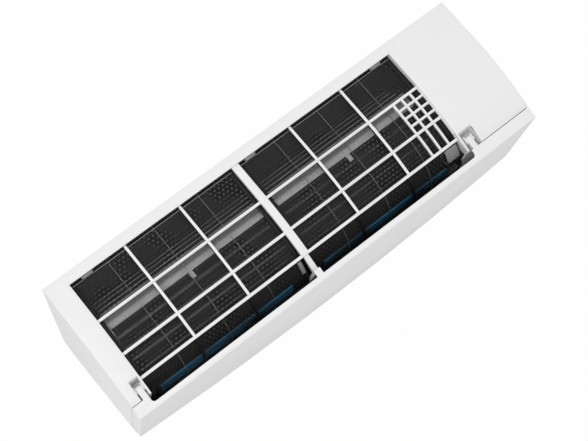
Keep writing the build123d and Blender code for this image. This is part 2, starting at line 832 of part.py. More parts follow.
duct_long = hypot(duct_end[0] - duct_top[0], duct_end[1] - duct_top[1])
slab_foot = lower_slab[1]
hook_x = (-plate_wide / 2 + 90, plate_wide / 2 - 90)
hook_wide = 40.0
hook_rise = 9.0
hook_h = top - plate_high / 2
slot_play = 3.0
motor_left = end_wall_right + wall + 12.0
side_plate_d = depth - 51.0

drain_at = (back_d + 16.0, height - 25.0)
spigot_r = 8.0
spigot_bore = 6.5
spigot_long = 28.0
lug_front = drain_at[0] + 14.0
chassis_gap = 0.3
seat_d = back_d + wall + chassis_gap
gland_at = (half - 48.0, floor_front - 36.1)
gland_bore = 6.0


def gland_plane(lift):
    """Plane over the chassis floor under the electrical box, raised by lift."""
    x, d = gland_at
    tilt = Vector(0, underside_slope, 1).normalized()
    return Plane(origin=Vector(x, *sec(d, underside(d) - wall)) + tilt * lift, x_dir=(1, 0, 0), z_dir=tilt)


def duct_back(h):
    """Distance from the wall of the duct's rear face at drop h, less the gap to it."""
    foot_d, foot_h = duct_point(0, -wall - chassis_gap)
    return foot_d + (h - foot_h) * duct_along.X / duct_along.Y


with BuildPart() as rear_chassis:
    # back wall, and the roof of the pipe recess up to the back of the duct
    slab_box(-shell_x, shell_x, back_d, back_d + wall, 14, recess_h)
    with BuildSketch(at_x(duct_left + chassis_gap)):
        polygon([(back_d, recess_h - wall), (duct_back(recess_h - wall), recess_h - wall),
                 (duct_back(recess_h), recess_h), (back_d, recess_h)])
    extrude(amount=duct_right - duct_left - 2 * chassis_gap)
    # outer end plates
    for x in (-shell_x, shell_x - wall):
        with BuildSketch(at_x(x)):
            polygon([(back_d, 14), (60, 14), (side_plate_d, 60), (side_plate_d, height - 55),
                     (side_plate_d - 42, underside(side_plate_d - 42) - wall - 0.5),
                     (heel_d + 2, underside(heel_d + 2) - wall - 0.5),
                     (back_d, recess_h)])
        extrude(amount=wall)
    # slots for the wall plate's hooks
    for x in hook_x:
        slab_box(x - hook_wide / 2 - slot_play, x + hook_wide / 2 + slot_play, back_d - 1,
                 back_d + wall + 1, hook_h, hook_h + hook_rise + slot_play, mode=Mode.SUBTRACT)
save(rear_chassis, "rear_chassis")

with BuildPart() as scroll_duct:
    # condensate gutter under the rear fin pack
    x0 = duct_left + chassis_gap
    x1 = duct_right - chassis_gap
    with BuildSketch(at_x(x0)):
        rim_d, rim_h = scroll_start
        polygon([(seat_d, gutter[1]), gutter, (rim_d - 0.8, rim_h - 1), (rim_d + 1.2, rim_h + 0.5),
                 (gutter[0] + 1.5, gutter[1] + wall), (seat_d, gutter[1] + wall)])
    extrude(amount=x1 - x0)
    # scroll behind the fan, and the duct's rear wall
    with BuildSketch(at_x(x0)):
        with BuildLine():
            ThreePointArc(sec(*scroll_start), sec(*scroll_mid), sec(*duct_top))
            Line(sec(*duct_top), sec(*duct_end))
            Line(sec(*duct_end), sec(*duct_point(duct_long, -wall)))
            Line(sec(*duct_point(duct_long, -wall)), sec(*duct_point(0, -wall)))
            ThreePointArc(sec(*duct_point(0, -wall)), sec(*away(scroll_mid, wall)),
                          sec(*away(scroll_start, wall)))
            Line(sec(*away(scroll_start, wall)), sec(*scroll_start))
        make_face()
    extrude(amount=x1 - x0)
save(scroll_duct, "scroll_duct")

with BuildPart() as end_walls:
    # walls at both ends of the fan and the duct
    for x in (duct_left - wall, duct_right):
        with BuildSketch(at_x(x)):
            polygon([(seat_d, gutter[1] + 2), gutter, along_slab(rear_slab, 0.84, coil_clear),
                     along_slab(upper_slab, 0.11, coil_clear), along_slab(upper_slab, 0.9, coil_clear),
                     along_slab(lower_slab, 0.78, coil_clear), (slab_foot[0] - 34, slab_foot[1] + 10),
                     (slab_foot[0] - 3.5, slab_foot[1] + 34.8), (nose_d - 4.5, lower_corner_h + 2),
                     (foot_d + 16, lower_corner_h + 13), (foot_d - 1.5, underside(foot_d) - 1.5),
                     (duct_end[0], underside(duct_end[0]) - 1), (duct_end[0] - 2, duct_end[1] - 4),
                     (duct_top[0], recess_h), (seat_d, recess_h)])
        extrude(amount=wall)
    # lug in the pipe recess for the drain outlet
    with BuildSketch(at_x(duct_right)):
        polygon([(seat_d, recess_h - 1), (lug_front, recess_h - 1), (lug_front, drain_at[1] + 14),
                 (seat_d, drain_at[1] + 10)])
        with Locations(sec(*drain_at)):
            Circle(spigot_bore, mode=Mode.SUBTRACT)
    extrude(amount=wall)
    # bearing seat, motor shaft hole and louver pin holes
    with BuildSketch(at_x(duct_left - wall - 1)):
        with Locations(sec(*fan_centre)):
            Circle(bearing_r + 4.05)
    extrude(amount=wall + 2, mode=Mode.SUBTRACT)
    with BuildSketch(at_x(duct_right - 1)):
        with Locations(sec(*fan_centre)):
            Circle(bearing_r + 3)
    extrude(amount=wall + 2, mode=Mode.SUBTRACT)
    with BuildSketch(at_x(duct_left - wall - 1)):
        with Locations(sec(*louver_pivot)):
            Circle(louver_pin_r + pin_fit)
    extrude(amount=duct_right - duct_left + 2 * wall + 2, mode=Mode.SUBTRACT)
save(end_walls, "end_walls")

# floor under the pipe recess and the two service bays
cover_front = duct_end[0] - 4.8
with BuildPart() as recess_cover:
    with BuildSketch(at_x(-shell_x)):
        polygon([(heel_d + 2, underside(heel_d + 2)), (cover_front, underside(cover_front)),
                 (cover_front, underside(cover_front) - wall), (heel_d + 2, underside(heel_d + 2) - wall)])
    extrude(amount=2 * shell_x)
    for x0, x1 in ((-shell_x, duct_left - wall - chassis_gap), (duct_right + wall + chassis_gap, shell_x)):
        with BuildSketch(at_x(x0)) as face:
            polygon([(cover_front - 1, underside(cover_front - 1)), (floor_front, underside(floor_front)),
                     (floor_front, underside(floor_front) - wall),
                     (cover_front - 1, underside(cover_front - 1) - wall)])
        extrude(face.sketch, amount=x1 - x0)
    # cable hole in the service bay
    with BuildSketch(gland_plane(-wall - 1)):
        Circle(gland_bore + 1)
    extrude(amount=wall + 2, mode=Mode.SUBTRACT)
save(recess_cover, "recess_cover")

# ---------------------------------------------------------------- drain pan
# both outlines are measured from the front foot of the lower fin pack
pan_rim = ((-38.9, -23.0), (-36.5, -23.4), (-29.7, 7.5), (-2.0, 10.3), (-2.0, 2.5), (0.4, 2.5),
           (0.1, 13.0), (-28.0, 10.9), (-2.3, 32.0), (-3.9, 34.0), (-32.7, 9.8))
pan_cheek = ((-31.0, 2.5), (0.4, 2.5), (0.1, 13.0), (-29.0, 10.0))
pan_left = duct_left + 0.3
pan_right = duct_right - 0.3
with BuildPart() as drain_pan:
    with BuildSketch(at_x(pan_left)):
        polygon([(slab_foot[0] + d, slab_foot[1] + h) for d, h in pan_rim])
    extrude(amount=pan_right - pan_left)
    for x in (pan_left, pan_right - 2):
        with BuildSketch(at_x(x)):
            polygon([(slab_foot[0] + d, slab_foot[1] + h) for d, h in pan_cheek])
        extrude(amount=2)
save(drain_pan, "drain_pan")

# ---------------------------------------------------------------- fan
fan_left = duct_left + bearing_long
fan_right = duct_right - 4.0


def fan_plane(x):
    """Section plane at x with its origin on the fan's axis."""
    return Plane(origin=(x, -fan_d, top - fan_h), x_dir=(0, 1, 0), z_dir=(1, 0, 0))


with BuildSketch() as blade:
    with BuildLine():
        tip = (fan_r, 0)
        root = (fan_inner_r, -3.5)
        belly = ((fan_r + fan_inner_r) / 2 + 0.6, -3.6)
        tip_back = (fan_r - 0.25, blade_thick)
        root_back = (root[0] - 0.1, root[1] + blade_thick)
        ThreePointArc(root, belly, tip)
        Line(tip, tip_back)
        ThreePointArc(tip_back, (belly[0] - 0.35, belly[1] + blade_thick), root_back)
        Line(root_back, root)
    make_face()

with BuildPart() as fan_rotor:
    with BuildSketch(fan_plane(fan_left)):
        with PolarLocations(0, fan_blades):
            add(blade.sketch)
    extrude(amount=fan_right - fan_left)
    pitch = (fan_right - fan_left - fan_disc) / fan_sections
    for i in range(fan_sections + 1):
        with BuildSketch(at_x(fan_left + i * pitch)):
            with Locations(sec(*fan_centre)):
                Circle(fan_r + 0.5)
                if i not in (0, fan_sections):
                    Circle(fan_inner_r - 3, mode=Mode.SUBTRACT)
                if i == fan_sections:
                    Circle(bearing_r, mode=Mode.SUBTRACT)
        extrude(amount=fan_disc)
save(fan_rotor, "fan_rotor")


def rod(x0, x1, centre, radius, bore=0.0):
    """Round bar along X, with an optional bore."""
    with BuildSketch(at_x(x0)) as face:
        with Locations(sec(*centre)):
            Circle(radius)
            if bore:
                Circle(bore, mode=Mode.SUBTRACT)
    extrude(face.sketch, amount=x1 - x0)


with BuildPart() as fan_axle:
    rod(fan_left - 2, fan_left, fan_centre, 14.0)
    rod(duct_left - wall - 2, fan_left - 2, fan_centre, shaft_r)
save(fan_axle, "fan_axle")

hub_long = 18.0
with BuildPart() as fan_hub:
    rod(fan_right - hub_long, fan_right - fan_disc, fan_centre, 13.0, shaft_r + tube_fit)
    rod(fan_right - fan_disc, fan_right + 1.5, fan_centre, bearing_r - 0.05, shaft_r + tube_fit)
save(fan_hub, "fan_hub")

with BuildPart() as motor_shaft:
    rod(fan_right - hub_long + 2, motor_left + 20, fan_centre, shaft_r)
save(motor_shaft, "motor_shaft")

with BuildPart() as bearing_ring:
    rod(duct_left - wall - 3, duct_left + 5, fan_centre, bearing_r + 4.0, bearing_r)
save(bearing_ring, "bearing_ring")

with BuildPart() as fan_bearing:
    rod(duct_left - wall - 1, duct_left + 4, fan_centre, bearing_r - 0.02, shaft_r + pin_fit)
save(fan_bearing, "fan_bearing")

motor_right = motor_left + motor_long
with BuildPart() as fan_motor:
    rod(motor_left, motor_right, fan_centre, motor_r)
    rod(motor_left - 5, motor_left, fan_centre, 14.0)
    rod(motor_right, motor_right + 6, fan_centre, 14.0)
    fillet(fan_motor.edges().filter_by(GeomType.CIRCLE).filter_by(lambda e: e.radius > 40), 4.0)
    with BuildSketch(at_x(motor_left - 6)):
        with Locations(sec(*fan_centre)):
            Circle(shaft_r + pin_fit)
    extrude(amount=28, mode=Mode.SUBTRACT)
save(fan_motor, "fan_motor")

ring_gap = 0.3
saddle_x = (motor_left + 10.0, motor_right - 16.0)
strap_h = fan_h - motor_r - 5.0
with BuildPart() as motor_cradle:
    for x in saddle_x:
        slab_box(x, x + 6, back_d + wall, fan_d + motor_r + 3, fan_h, recess_h - 8)
    slab_box(saddle_x[0], saddle_x[1] + 6, back_d + wall, fan_d + motor_r + 3, recess_h - 12, recess_h - 8)
    with BuildSketch(at_x(motor_left - 2)):
        with Locations(sec(*fan_centre)):
            Circle(motor_r + ring_gap)
    extrude(amount=motor_long + 4, mode=Mode.SUBTRACT)
save(motor_cradle, "motor_cradle")

with BuildPart() as motor_strap:
    for x in saddle_x:
        with BuildSketch(at_x(x)):
            polygon([(fan_d - motor_r - 9, fan_h), (fan_d - motor_r - 4, fan_h - 28), (fan_d - 26, strap_h),
                     (fan_d + 26, strap_h), (fan_d + motor_r + 3, fan_h - 26), (fan_d + motor_r + 3, fan_h)])
        extrude(amount=6)
    slab_box(saddle_x[0], saddle_x[1] + 6, fan_d - 20, fan_d + 20, strap_h - 2, strap_h + 1)
    with BuildSketch(at_x(motor_left - 2)):
        with Locations(sec(*fan_centre)):
            Circle(motor_r + ring_gap)
    extrude(amount=motor_long + 4, mode=Mode.SUBTRACT)
save(motor_strap, "motor_strap")

# ---------------------------------------------------------------- vertical vanes
vane_s = 41.0
carrier_thick = 4.0
carrier_half = 11.0
fork_s = -16.5
fork_wide = 7.0
fork_n = (20.0, 25.0)
fork_play = 0.4
vane_pitch = (duct_right - duct_left) / vane_count
vane_x = [duct_left + (i + 0.5) * vane_pitch for i in range(vane_count)]


def vane_plane(x, n):
    """Plane across a vane's axis, n in front of the duct's rear wall."""
    d, h = duct_point(vane_s, n)
    return Plane(origin=(x, -d, top - h), x_dir=(0, -duct_along.X, -duct_along.Y),
                 z_dir=(0, -duct_out.X, -duct_out.Y))


def vane(x):
    """One vane with its root pin and the fork that the link drives."""
    with BuildSketch(vane_plane(x, vane_root)) as face:
        RectangleRounded(vane_chord, vane_thick, vane_thick / 2 - 0.05)
    extrude(face.sketch, amount=vane_reach)
    with BuildSketch(vane_plane(x, 0.5)) as face:
        Circle(vane_pin_r)
    extrude(face.sketch, amount=vane_root)
    with BuildSketch(vane_plane(x, vane_root - 1.5)) as face:
        Circle(vane_pin_r + 2.5)
    extrude(face.sketch, amount=3)
    with BuildSketch(vane_plane(x, fork_n[0])) as face:
        with Locations(((fork_s - vane_chord / 2) / 2 - 1.5, 0)):
            Rectangle(vane_chord / 2 - fork_s - 14, fork_wide)
        with Locations((fork_s - 2, 0)):
            Rectangle(12, 2 * (link_r + fork_play), mode=Mode.SUBTRACT)
    extrude(face.sketch, amount=fork_n[1] - fork_n[0])


vane_groups = (("left", vane_x[:vane_count // 2]), ("right", vane_x[vane_count // 2:]))
for side, xs in vane_groups:
    for i, x in enumerate(xs):
        with BuildPart() as vane_part:
            vane(x)
        save(vane_part, f"vane_{side}_{i + 1}")

with BuildPart() as vane_carriers:
    for _, xs in vane_groups:
        with BuildSketch(vane_plane((xs[0] + xs[-1]) / 2, 0)):
            Rectangle(2 * carrier_half, xs[-1] - xs[0] + 24)
        extrude(amount=carrier_thick)
    for x in vane_x:
        with BuildSketch(vane_plane(x, -1)):
            Circle(vane_pin_r + pin_fit)
        extrude(amount=carrier_thick + 2, mode=Mode.SUBTRACT)
save(vane_carriers, "vane_carriers")

link_n = fork_n[1] + 0.5
link_thick = 2.5
for side, xs in vane_groups:
    with BuildPart() as link:
        with BuildSketch(vane_plane((xs[0] + xs[-1]) / 2, link_n)):
            with Locations((fork_s - 0.5, 0)):
                RectangleRounded(5, xs[-1] - xs[0] + 8, 2)
        extrude(amount=link_thick)
        for x in xs:
            with BuildSketch(vane_plane(x, fork_n[0] + 0.5)):
                with Locations((fork_s, 0)):
                    Circle(link_r)
            extrude(amount=link_n - fork_n[0])
    save(link, f"vane_link_{side}")

# ---------------------------------------------------------------- louver
louver_left = duct_left + duct_clear
louver_right = duct_right - duct_clear
arm_thick = 3.0
louver_pin_long = 8.0


def louver_outline(inset_out, inset_in):
    """Louver section: it closes the outlet and rounds the lower front corner."""
    outer = []
    for inset in (inset_out, inset_in):
        tip = sec(nose_d - 1.25 * inset, lower_corner_h + 1.5)
        tuck = sec(nose_d - 7.5 - 0.8 * inset, height - 34.5 - 0.8 * inset)
        foot = sec(foot_d, underside(foot_d) - inset)
        rear = sec(louver_rear_d, underside(louver_rear_d) - inset)
        outer.append((tip, tuck, foot, rear))
    with BuildLine() as outline:
        for tip, tuck, foot, rear in outer:
            ThreePointArc(tip, tuck, foot)
            Line(foot, rear)
        Line(outer[0][0], outer[1][0])
        Line(outer[0][3], outer[1][3])
    make_face(outline.edges())


with BuildPart() as louver:
    with BuildSketch(at_x(louver_left)):
        louver_outline(0, louver_thick)
    extrude(amount=louver_right - louver_left)
    for x in (louver_left, louver_right - arm_thick):
        pivot_d, pivot_h = louver_pivot
        with BuildSketch(at_x(x)):
            with Locations(sec(*louver_pivot)):
                Circle(7)
            base_h = underside(pivot_d) - louver_thick + 0.5
            polygon([(pivot_d - 7, pivot_h), (pivot_d + 7, pivot_h), (pivot_d + 14, base_h),
                     (pivot_d - 12, base_h + 1)])
        extrude(amount=arm_thick)
    rod(duct_left - wall - 1, louver_left, louver_pivot, louver_pin_r)
    rod(louver_right, duct_right + wall + louver_pin_long, louver_pivot, louver_pin_r)
save(louver, "louver")

# small stepping motor: its shaft stands off the middle of its case
case_r = 14.0
case_long = 16.0
case_at = (louver_pivot[0] - 3.0, louver_pivot[1] - 8.0)
with BuildPart() as louver_motor:
    case_x = duct_right + wall
    rod(case_x, case_x + case_long, case_at, case_r)
    with BuildSketch(at_x(case_x)):
        with Locations(sec(*case_at)):
            SlotOverall(3 * case_r, 7)
    extrude(amount=1.5)
    with BuildSketch(at_x(case_x - 1)):
        with Locations(sec(*louver_pivot)):
            Circle(louver_pin_r + pin_fit)
    extrude(amount=louver_pin_long + 2, mode=Mode.SUBTRACT)
save(louver_motor, "louver_motor")

# ---------------------------------------------------------------- refrigerant pipes
liquid_start = circuit[0][1]
gas_start = circuit[-1][(len(circuit) - 1) % 2]
liquid_run_h = recess_h + 42.0
gas_run_h = recess_h + 22.0
gas_run_d = duct_top[0] - 12.0
liquid_end = -60.0
gas_end = -20.0
liquid_x = tube_open + 18.0
gas_x = tube_open + 24.0


def pipe(points, radii, radius):
    """Tube through (x, d, h) points with a bend radius at each corner."""
    route = [(x, *sec(d, h)) for x, d, h in points]
    with BuildLine() as path:
        FilletPolyline(*route, radius=radii)
    with BuildSketch(at_x(points[0][0])) as ring:
        with Locations(sec(*points[0][1:])):
            Circle(radius)
            Circle(radius - pipe_wall, mode=Mode.SUBTRACT)
    sweep(ring.sketch, path=path.wire())


with BuildPart() as liquid_pipe:
    d0, h0 = liquid_start
    pipe([(tube_open, d0, h0), (liquid_x, d0, h0), (liquid_x, d0, liquid_run_h),
          (liquid_end, d0, liquid_run_h)], [14, 20], liquid_r)
save(liquid_pipe, "liquid_pipe")

with BuildPart() as gas_pipe:
    d0, h0 = gas_start
    pipe([(tube_open, d0, h0), (gas_x, d0, h0), (gas_x, d0 - 45, gas_run_h),
          (gas_x, gas_run_d, gas_run_h), (gas_end, gas_run_d, gas_run_h)], [10, 20, 22], gas_r)
save(gas_pipe, "gas_pipe")

nut_grip = 8.0
nut_mouth = 12.0
nut_collar = 3.0
liquid_nut = (17.0, 5.56)
gas_nut = (22.0, 7.94)


def flare_nut(end, centre, radius, flats, mouth_r):
    """Hexagon nut gripping the end of a pipe: a round collar behind, a mouth for the fitting in front."""
    with BuildSketch(at_x(end - nut_mouth)) as face:
        with Locations(sec(*centre)):
            RegularPolygon(flats / 2, 6, major_radius=False)
            Circle(mouth_r, mode=Mode.SUBTRACT)
    extrude(face.sketch, amount=nut_mouth)
    with BuildSketch(at_x(end)) as face:
        with Locations(sec(*centre)):
            RegularPolygon(flats / 2, 6, major_radius=False)
            Circle(radius + tube_fit, mode=Mode.SUBTRACT)
    extrude(face.sketch, amount=nut_grip)
    rod(end + nut_grip, end + nut_grip + nut_collar, centre, radius + 3, radius + tube_fit)


with BuildPart() as liquid_flare_nut:
    flare_nut(liquid_end, (liquid_start[0], liquid_run_h), liquid_r, *liquid_nut)
save(liquid_flare_nut, "liquid_flare_nut")

with BuildPart() as gas_flare_nut:
    flare_nut(gas_end, (gas_run_d, gas_run_h), gas_r, *gas_nut)
save(gas_flare_nut, "gas_flare_nut")

clamp_x = duct_left + 0.63 * (duct_right - duct_left)
clamp_d = (min(liquid_start[0], gas_run_d) - 12.0, max(liquid_start[0], gas_run_d) + 9.0)
with BuildPart() as pipe_clamp:
    slab_box(clamp_x, clamp_x + 14, *clamp_d, recess_h, liquid_run_h + 10)
    for d, h, r in ((liquid_start[0], liquid_run_h, liquid_r), (gas_run_d, gas_run_h, gas_r)):
        with BuildSketch(at_x(clamp_x - 1)):
            with Locations(sec(d, h)):
                Circle(r + 0.3)
        extrude(amount=16, mode=Mode.SUBTRACT)
save(pipe_clamp, "pipe_clamp")

# drain spigot on its lug in the pipe recess
with BuildPart() as drain_spigot:
    rod(duct_right - 2, duct_right, drain_at, spigot_r + 3, spigot_bore)
    rod(duct_right - spigot_long, duct_right - 2, drain_at, spigot_r, spigot_bore)
save(drain_spigot, "drain_spigot")

# ---------------------------------------------------------------- electrics
box_right = shell_x - wall
box_left = box_right - box_wide
box_back = fan_d + motor_r + 5.0
box_front = box_back + box_deep
box_h = (48.0, height - 81.0)
box_wall = 2.0
board_thick = 1.6
board_lift = 6.0
post = 6.0
board_back = box_back + box_wall + board_lift
board_front = board_back + board_thick
board_h = (box_h[0] + 6.0, box_h[1] - 40.0)
with BuildPart() as electrical_box:
    slab_box(box_left, box_right, box_back, box_front, *box_h)
    slab_box(box_left + box_wall, box_right - box_wall, box_back + box_wall, box_front + 1,
             box_h[0] + box_wall, box_h[1] - box_wall, mode=Mode.SUBTRACT)
    # posts under the board
    for x in (box_left + 9, box_right - 9 - post):
        for h in (board_h[0] + 8, board_h[1] - 8 - post):
            slab_box(x, x + post, box_back + box_wall, board_back, h, h + post)
save(electrical_box, "electrical_box")

cover_thick = 1.6
with BuildPart() as electrical_cover:
    slab_box(box_left, box_right, box_front, box_front + cover_thick, box_h[0] + 14, box_h[1])
save(electrical_cover, "electrical_cover")

with BuildPart() as control_board:
    slab_box(box_left + 5, box_right - 5, board_back, board_front, *board_h)
save(control_board, "control_board")

# relay, transformer, capacitors, connectors: x, share of the board's height, then sizes
components = ((6, 0.11, 24, 20, 16), (42, 0.07, 14, 14, 18), (58, 0.27, 12, 28, 10), (8, 0.4, 34, 12, 9),
              (50, 0.63, 20, 18, 14), (10, 0.63, 12, 12, 16), (28, 0.66, 10, 24, 7))
with BuildPart() as board_components:
    for x, share, wide, tall, deep in components:
        corner_x = box_left + 5 + x
        corner_h = board_h[0] + share * (board_h[1] - board_h[0])
        slab_box(corner_x, corner_x + wide, board_front, board_front + deep, corner_h, corner_h + tall)
save(board_components, "board_components")

terminal_deep = 18.0
terminal_h = (box_h[1] - 32.0, box_h[1] - 10.0)
poles = 5
pole_pitch = 11.0
with BuildPart() as terminal_block:
    slab_box(box_left + 10, box_right - 10, box_back + box_wall, box_back + box_wall + terminal_deep,
             *terminal_h)
    with BuildSketch(Plane.XZ.offset(box_back + box_wall + terminal_deep)):
        with Locations(((box_left + box_right) / 2, top - sum(terminal_h) / 2)):
            with GridLocations(pole_pitch, 1, poles, 1):
                Rectangle(pole_pitch - 3, 14)
    extrude(amount=-7, mode=Mode.SUBTRACT)
save(terminal_block, "terminal_block")

# bush of the cable hole in the floor of the bay
gland_long = 10.0
with BuildPart() as cable_gland:
    with BuildSketch(gland_plane(0)):
        Circle(gland_bore + 5)
        Circle(gland_bore, mode=Mode.SUBTRACT)
    extrude(amount=2)
    with BuildSketch(gland_plane(2)):
        Circle(gland_bore + 2)
        Circle(gland_bore, mode=Mode.SUBTRACT)
    extrude(amount=gland_long - 2)
save(cable_gland, "cable_gland")

# display and test button on the cabinet behind the panel, at the right
display_x = (open_right + 36.0, half - 16.0)
display_h = height - 91.0
display_high = 22.0
display_deep = 9.0
button_x = display_x[0] + 12.0
button_r = 3.5
button_travel = 1.5
button_long = 6.0
button_well = 5.0
button_seat = display_deep - button_well + button_travel + 0.3
with BuildPart() as display_module:
    with BuildSketch(strip_plane(sum(display_x) / 2, display_h)):
        RectangleRounded(display_x[1] - display_x[0], display_high, 4)
    extrude(amount=display_deep)
    with BuildSketch(strip_plane(button_x, display_h).offset(display_deep)):
        Circle(button_r + pin_fit)
    extrude(amount=-button_well, mode=Mode.SUBTRACT)
    # window over the lights
    with BuildSketch(strip_plane(sum(display_x) / 2 + 8, display_h).offset(display_deep)):
        RectangleRounded(34, 9, 2)
    extrude(amount=-1, mode=Mode.SUBTRACT)
save(display_module, "display_module")

with BuildPart() as test_button:
    with BuildSketch(strip_plane(button_x, display_h).offset(button_seat)):
        Circle(button_r)
    extrude(amount=button_long - button_travel)
save(test_button, "test_button")

# room temperature sensor in its holder, inside the front of the cabinet at the right
sensor_x = open_right + 14.0
sensor_h = display_h - 76.0
sensor_r = 2.5
with BuildPart() as room_sensor:
    with BuildSketch(strip_plane(sensor_x, sensor_h).offset(-wall)):
        Rectangle(12, 26)
    extrude(amount=-3)
    with BuildSketch(strip_plane(sensor_x, sensor_h).offset(-wall - 3)):
        with GridLocations(1, 16, 1, 2):
            Rectangle(8, 4)
    extrude(amount=-6)
    with BuildSketch(Plane(origin=(sensor_x, *sec(seam(sensor_h) - wall - 6, sensor_h + 17)), x_dir=(1, 0, 0),
                           z_dir=(0, -seam_lean, 1))):
        Circle(sensor_r)
    extrude(amount=34)
save(room_sensor, "room_sensor")

# screws of the cabinet behind the lower edge of the panel
head_r = 4.2
head_high = 2.4
screw_long = 8.0
with BuildPart() as frame_screws:
    for x in screw_x:
        with BuildSketch(strip_plane(x, screw_h)) as face:
            Circle(head_r)
        extrude(face.sketch, amount=head_high)
        with BuildSketch(strip_plane(x, screw_h)) as face:
            Circle(screw_r)
        extrude(face.sketch, amount=-screw_long)
        with BuildSketch(strip_plane(x, screw_h).offset(head_high)) as face:
            Rectangle(4.4, 0.9)
            Rectangle(0.9, 4.4)
        extrude(face.sketch, amount=-1.4, mode=Mode.SUBTRACT)
save(frame_screws, "frame_screws")

# ---------------------------------------------------------------- wall plate
lip_gap = 0.5
slot_long = 70.0
slot_pitch = 110.0
slots = 4
with BuildPart() as wall_plate:
    with BuildSketch(Plane.XZ):
        RectangleRounded(plate_wide, plate_high, 8)
        with GridLocations(plate_hole_x, plate_hole_z, 2, 2):
            Circle(plate_hole_r, mode=Mode.SUBTRACT)
        with GridLocations(slot_pitch, 1, slots, 1):
            SlotOverall(slot_long, 30, mode=Mode.SUBTRACT)
    extrude(amount=plate_thick)
    for x in hook_x:
        lip_d0 = back_d + wall + lip_gap
        slab_box(x - hook_wide / 2, x + hook_wide / 2, 0, lip_d0 + plate_thick, hook_h, hook_h + plate_thick)
        slab_box(x - hook_wide / 2, x + hook_wide / 2, lip_d0, lip_d0 + plate_thick, hook_h - hook_rise,
                 hook_h + plate_thick)
save(wall_plate, "wall_plate")
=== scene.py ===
"""Dressed model of a wall-hung air conditioner indoor unit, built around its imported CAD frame."""
import json
import math

import bmesh
import bpy
import numpy as np
from mathutils import Matrix, Vector

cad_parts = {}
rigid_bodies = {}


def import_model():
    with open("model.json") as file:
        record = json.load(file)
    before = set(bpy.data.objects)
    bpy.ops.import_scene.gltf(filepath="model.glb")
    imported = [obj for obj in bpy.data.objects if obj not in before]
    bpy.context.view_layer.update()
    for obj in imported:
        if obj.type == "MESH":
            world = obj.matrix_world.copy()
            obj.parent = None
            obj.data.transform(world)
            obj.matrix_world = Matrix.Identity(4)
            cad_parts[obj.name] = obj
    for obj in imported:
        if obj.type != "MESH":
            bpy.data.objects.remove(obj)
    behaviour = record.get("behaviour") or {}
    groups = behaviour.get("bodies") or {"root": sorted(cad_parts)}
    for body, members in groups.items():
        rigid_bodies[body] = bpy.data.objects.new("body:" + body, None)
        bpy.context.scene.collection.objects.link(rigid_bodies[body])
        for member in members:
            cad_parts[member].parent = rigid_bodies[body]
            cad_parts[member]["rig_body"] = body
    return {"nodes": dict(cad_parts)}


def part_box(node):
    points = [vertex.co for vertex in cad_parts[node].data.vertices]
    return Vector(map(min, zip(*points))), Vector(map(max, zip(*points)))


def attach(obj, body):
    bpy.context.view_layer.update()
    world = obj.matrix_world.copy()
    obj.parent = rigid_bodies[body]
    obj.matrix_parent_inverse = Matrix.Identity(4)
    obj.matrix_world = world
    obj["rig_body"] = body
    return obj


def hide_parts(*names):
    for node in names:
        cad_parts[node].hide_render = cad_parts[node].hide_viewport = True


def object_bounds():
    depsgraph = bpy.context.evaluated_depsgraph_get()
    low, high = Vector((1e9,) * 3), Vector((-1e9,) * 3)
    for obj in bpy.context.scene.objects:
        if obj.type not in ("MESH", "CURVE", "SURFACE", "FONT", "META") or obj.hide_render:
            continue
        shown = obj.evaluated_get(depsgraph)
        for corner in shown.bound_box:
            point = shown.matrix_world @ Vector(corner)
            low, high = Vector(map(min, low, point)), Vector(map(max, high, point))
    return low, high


bl_info = {
    "name": "Wall Unit Dresser",
    "version": (1, 0, 0),
    "blender": (4, 5, 0),
    "location": "View3D > Sidebar > Wall Unit",
    "description": "Gives a wall-hung indoor unit its moulded edges, filter nets, fin packs and finishes",
    "category": "Object",
}

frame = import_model()
CAD_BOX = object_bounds()
MM = 0.001

# Side profile of the filters in millimetres and degrees: distance from the wall and drop below the top edge
TOP = 143.5
RAMP_START = 1.0
CROWN_START = 70.0
CROWN_LEVEL = 2.0
SEAM = (221.0, 34.5)
FILTER_DROP = 11.0
FILTER_BACK = 17.2
FILTER_FOOT = 205.0
BEND_START_ANGLE = -72.85
BEND_END_ANGLE = -4.81
BEND_CENTRE = (142.5, 98.4)
BEND_RADIUS = 76.3
RUN_SLOPE = 0.115

# Fine ribs of a filter: place beside the middle one as a share of the width, shift in metres, in millimetres
# how far the painted highlight line stands out and a rib reaches from its middle, and the CAD's width in
# metres
RIB_SHARE = 0.282
RIB_SHIFT = {"left": 0.0, "right": 0.002}
RIB_PROUD = 0.12
RIB_REACH = 0.9
RIB_WIDE = 0.0014

# Net: millimetres inside the outer path, columns of the mesh, cover of the strands, tone of the figures, how
# fast a diamond falls off, and how narrow and how strong the diagonals are
NET_INSET = 2.2
NET_COLUMNS = 40
NET_COVER = 0.13
NET_FIGURE = (0.28, 0.28, 0.28, 1)
DIAMOND_FALL = 2.3
HATCH_POWER = 6.0
HATCH_DEPTH = 0.4

# Back bar of a filter in millimetres: its depth, its lift, where each row of teeth starts on it, the share of
# the pitch that a tooth takes, and the profiles, as (distance, drop), of a tooth from there and of the
# painted highlight line from the bar's front edge. The insets, in metres, keep both clear of the ends of the
# bar.
BAR_DEEP = 6.0
BAR_LIFT = 0.2
TOOTH_ROWS = (0.5, 2.9)
TOOTH_SHARE = 0.55
TOOTH = np.array([(0, 0.1), (0.4, -0.5), (1.3, -0.5), (1.8, 0.1)])
TOOTH_INSET = (0.004, 0.005)
BACK_LINE = np.array([(-1.0, 0.1), (-0.8, -0.35), (-0.3, -0.35), (-0.1, 0.1)])
BACK_LINE_INSET = 0.002

# Edge radius of the hinge ears, as a share of the covers' one
EAR_SHARE = 0.6

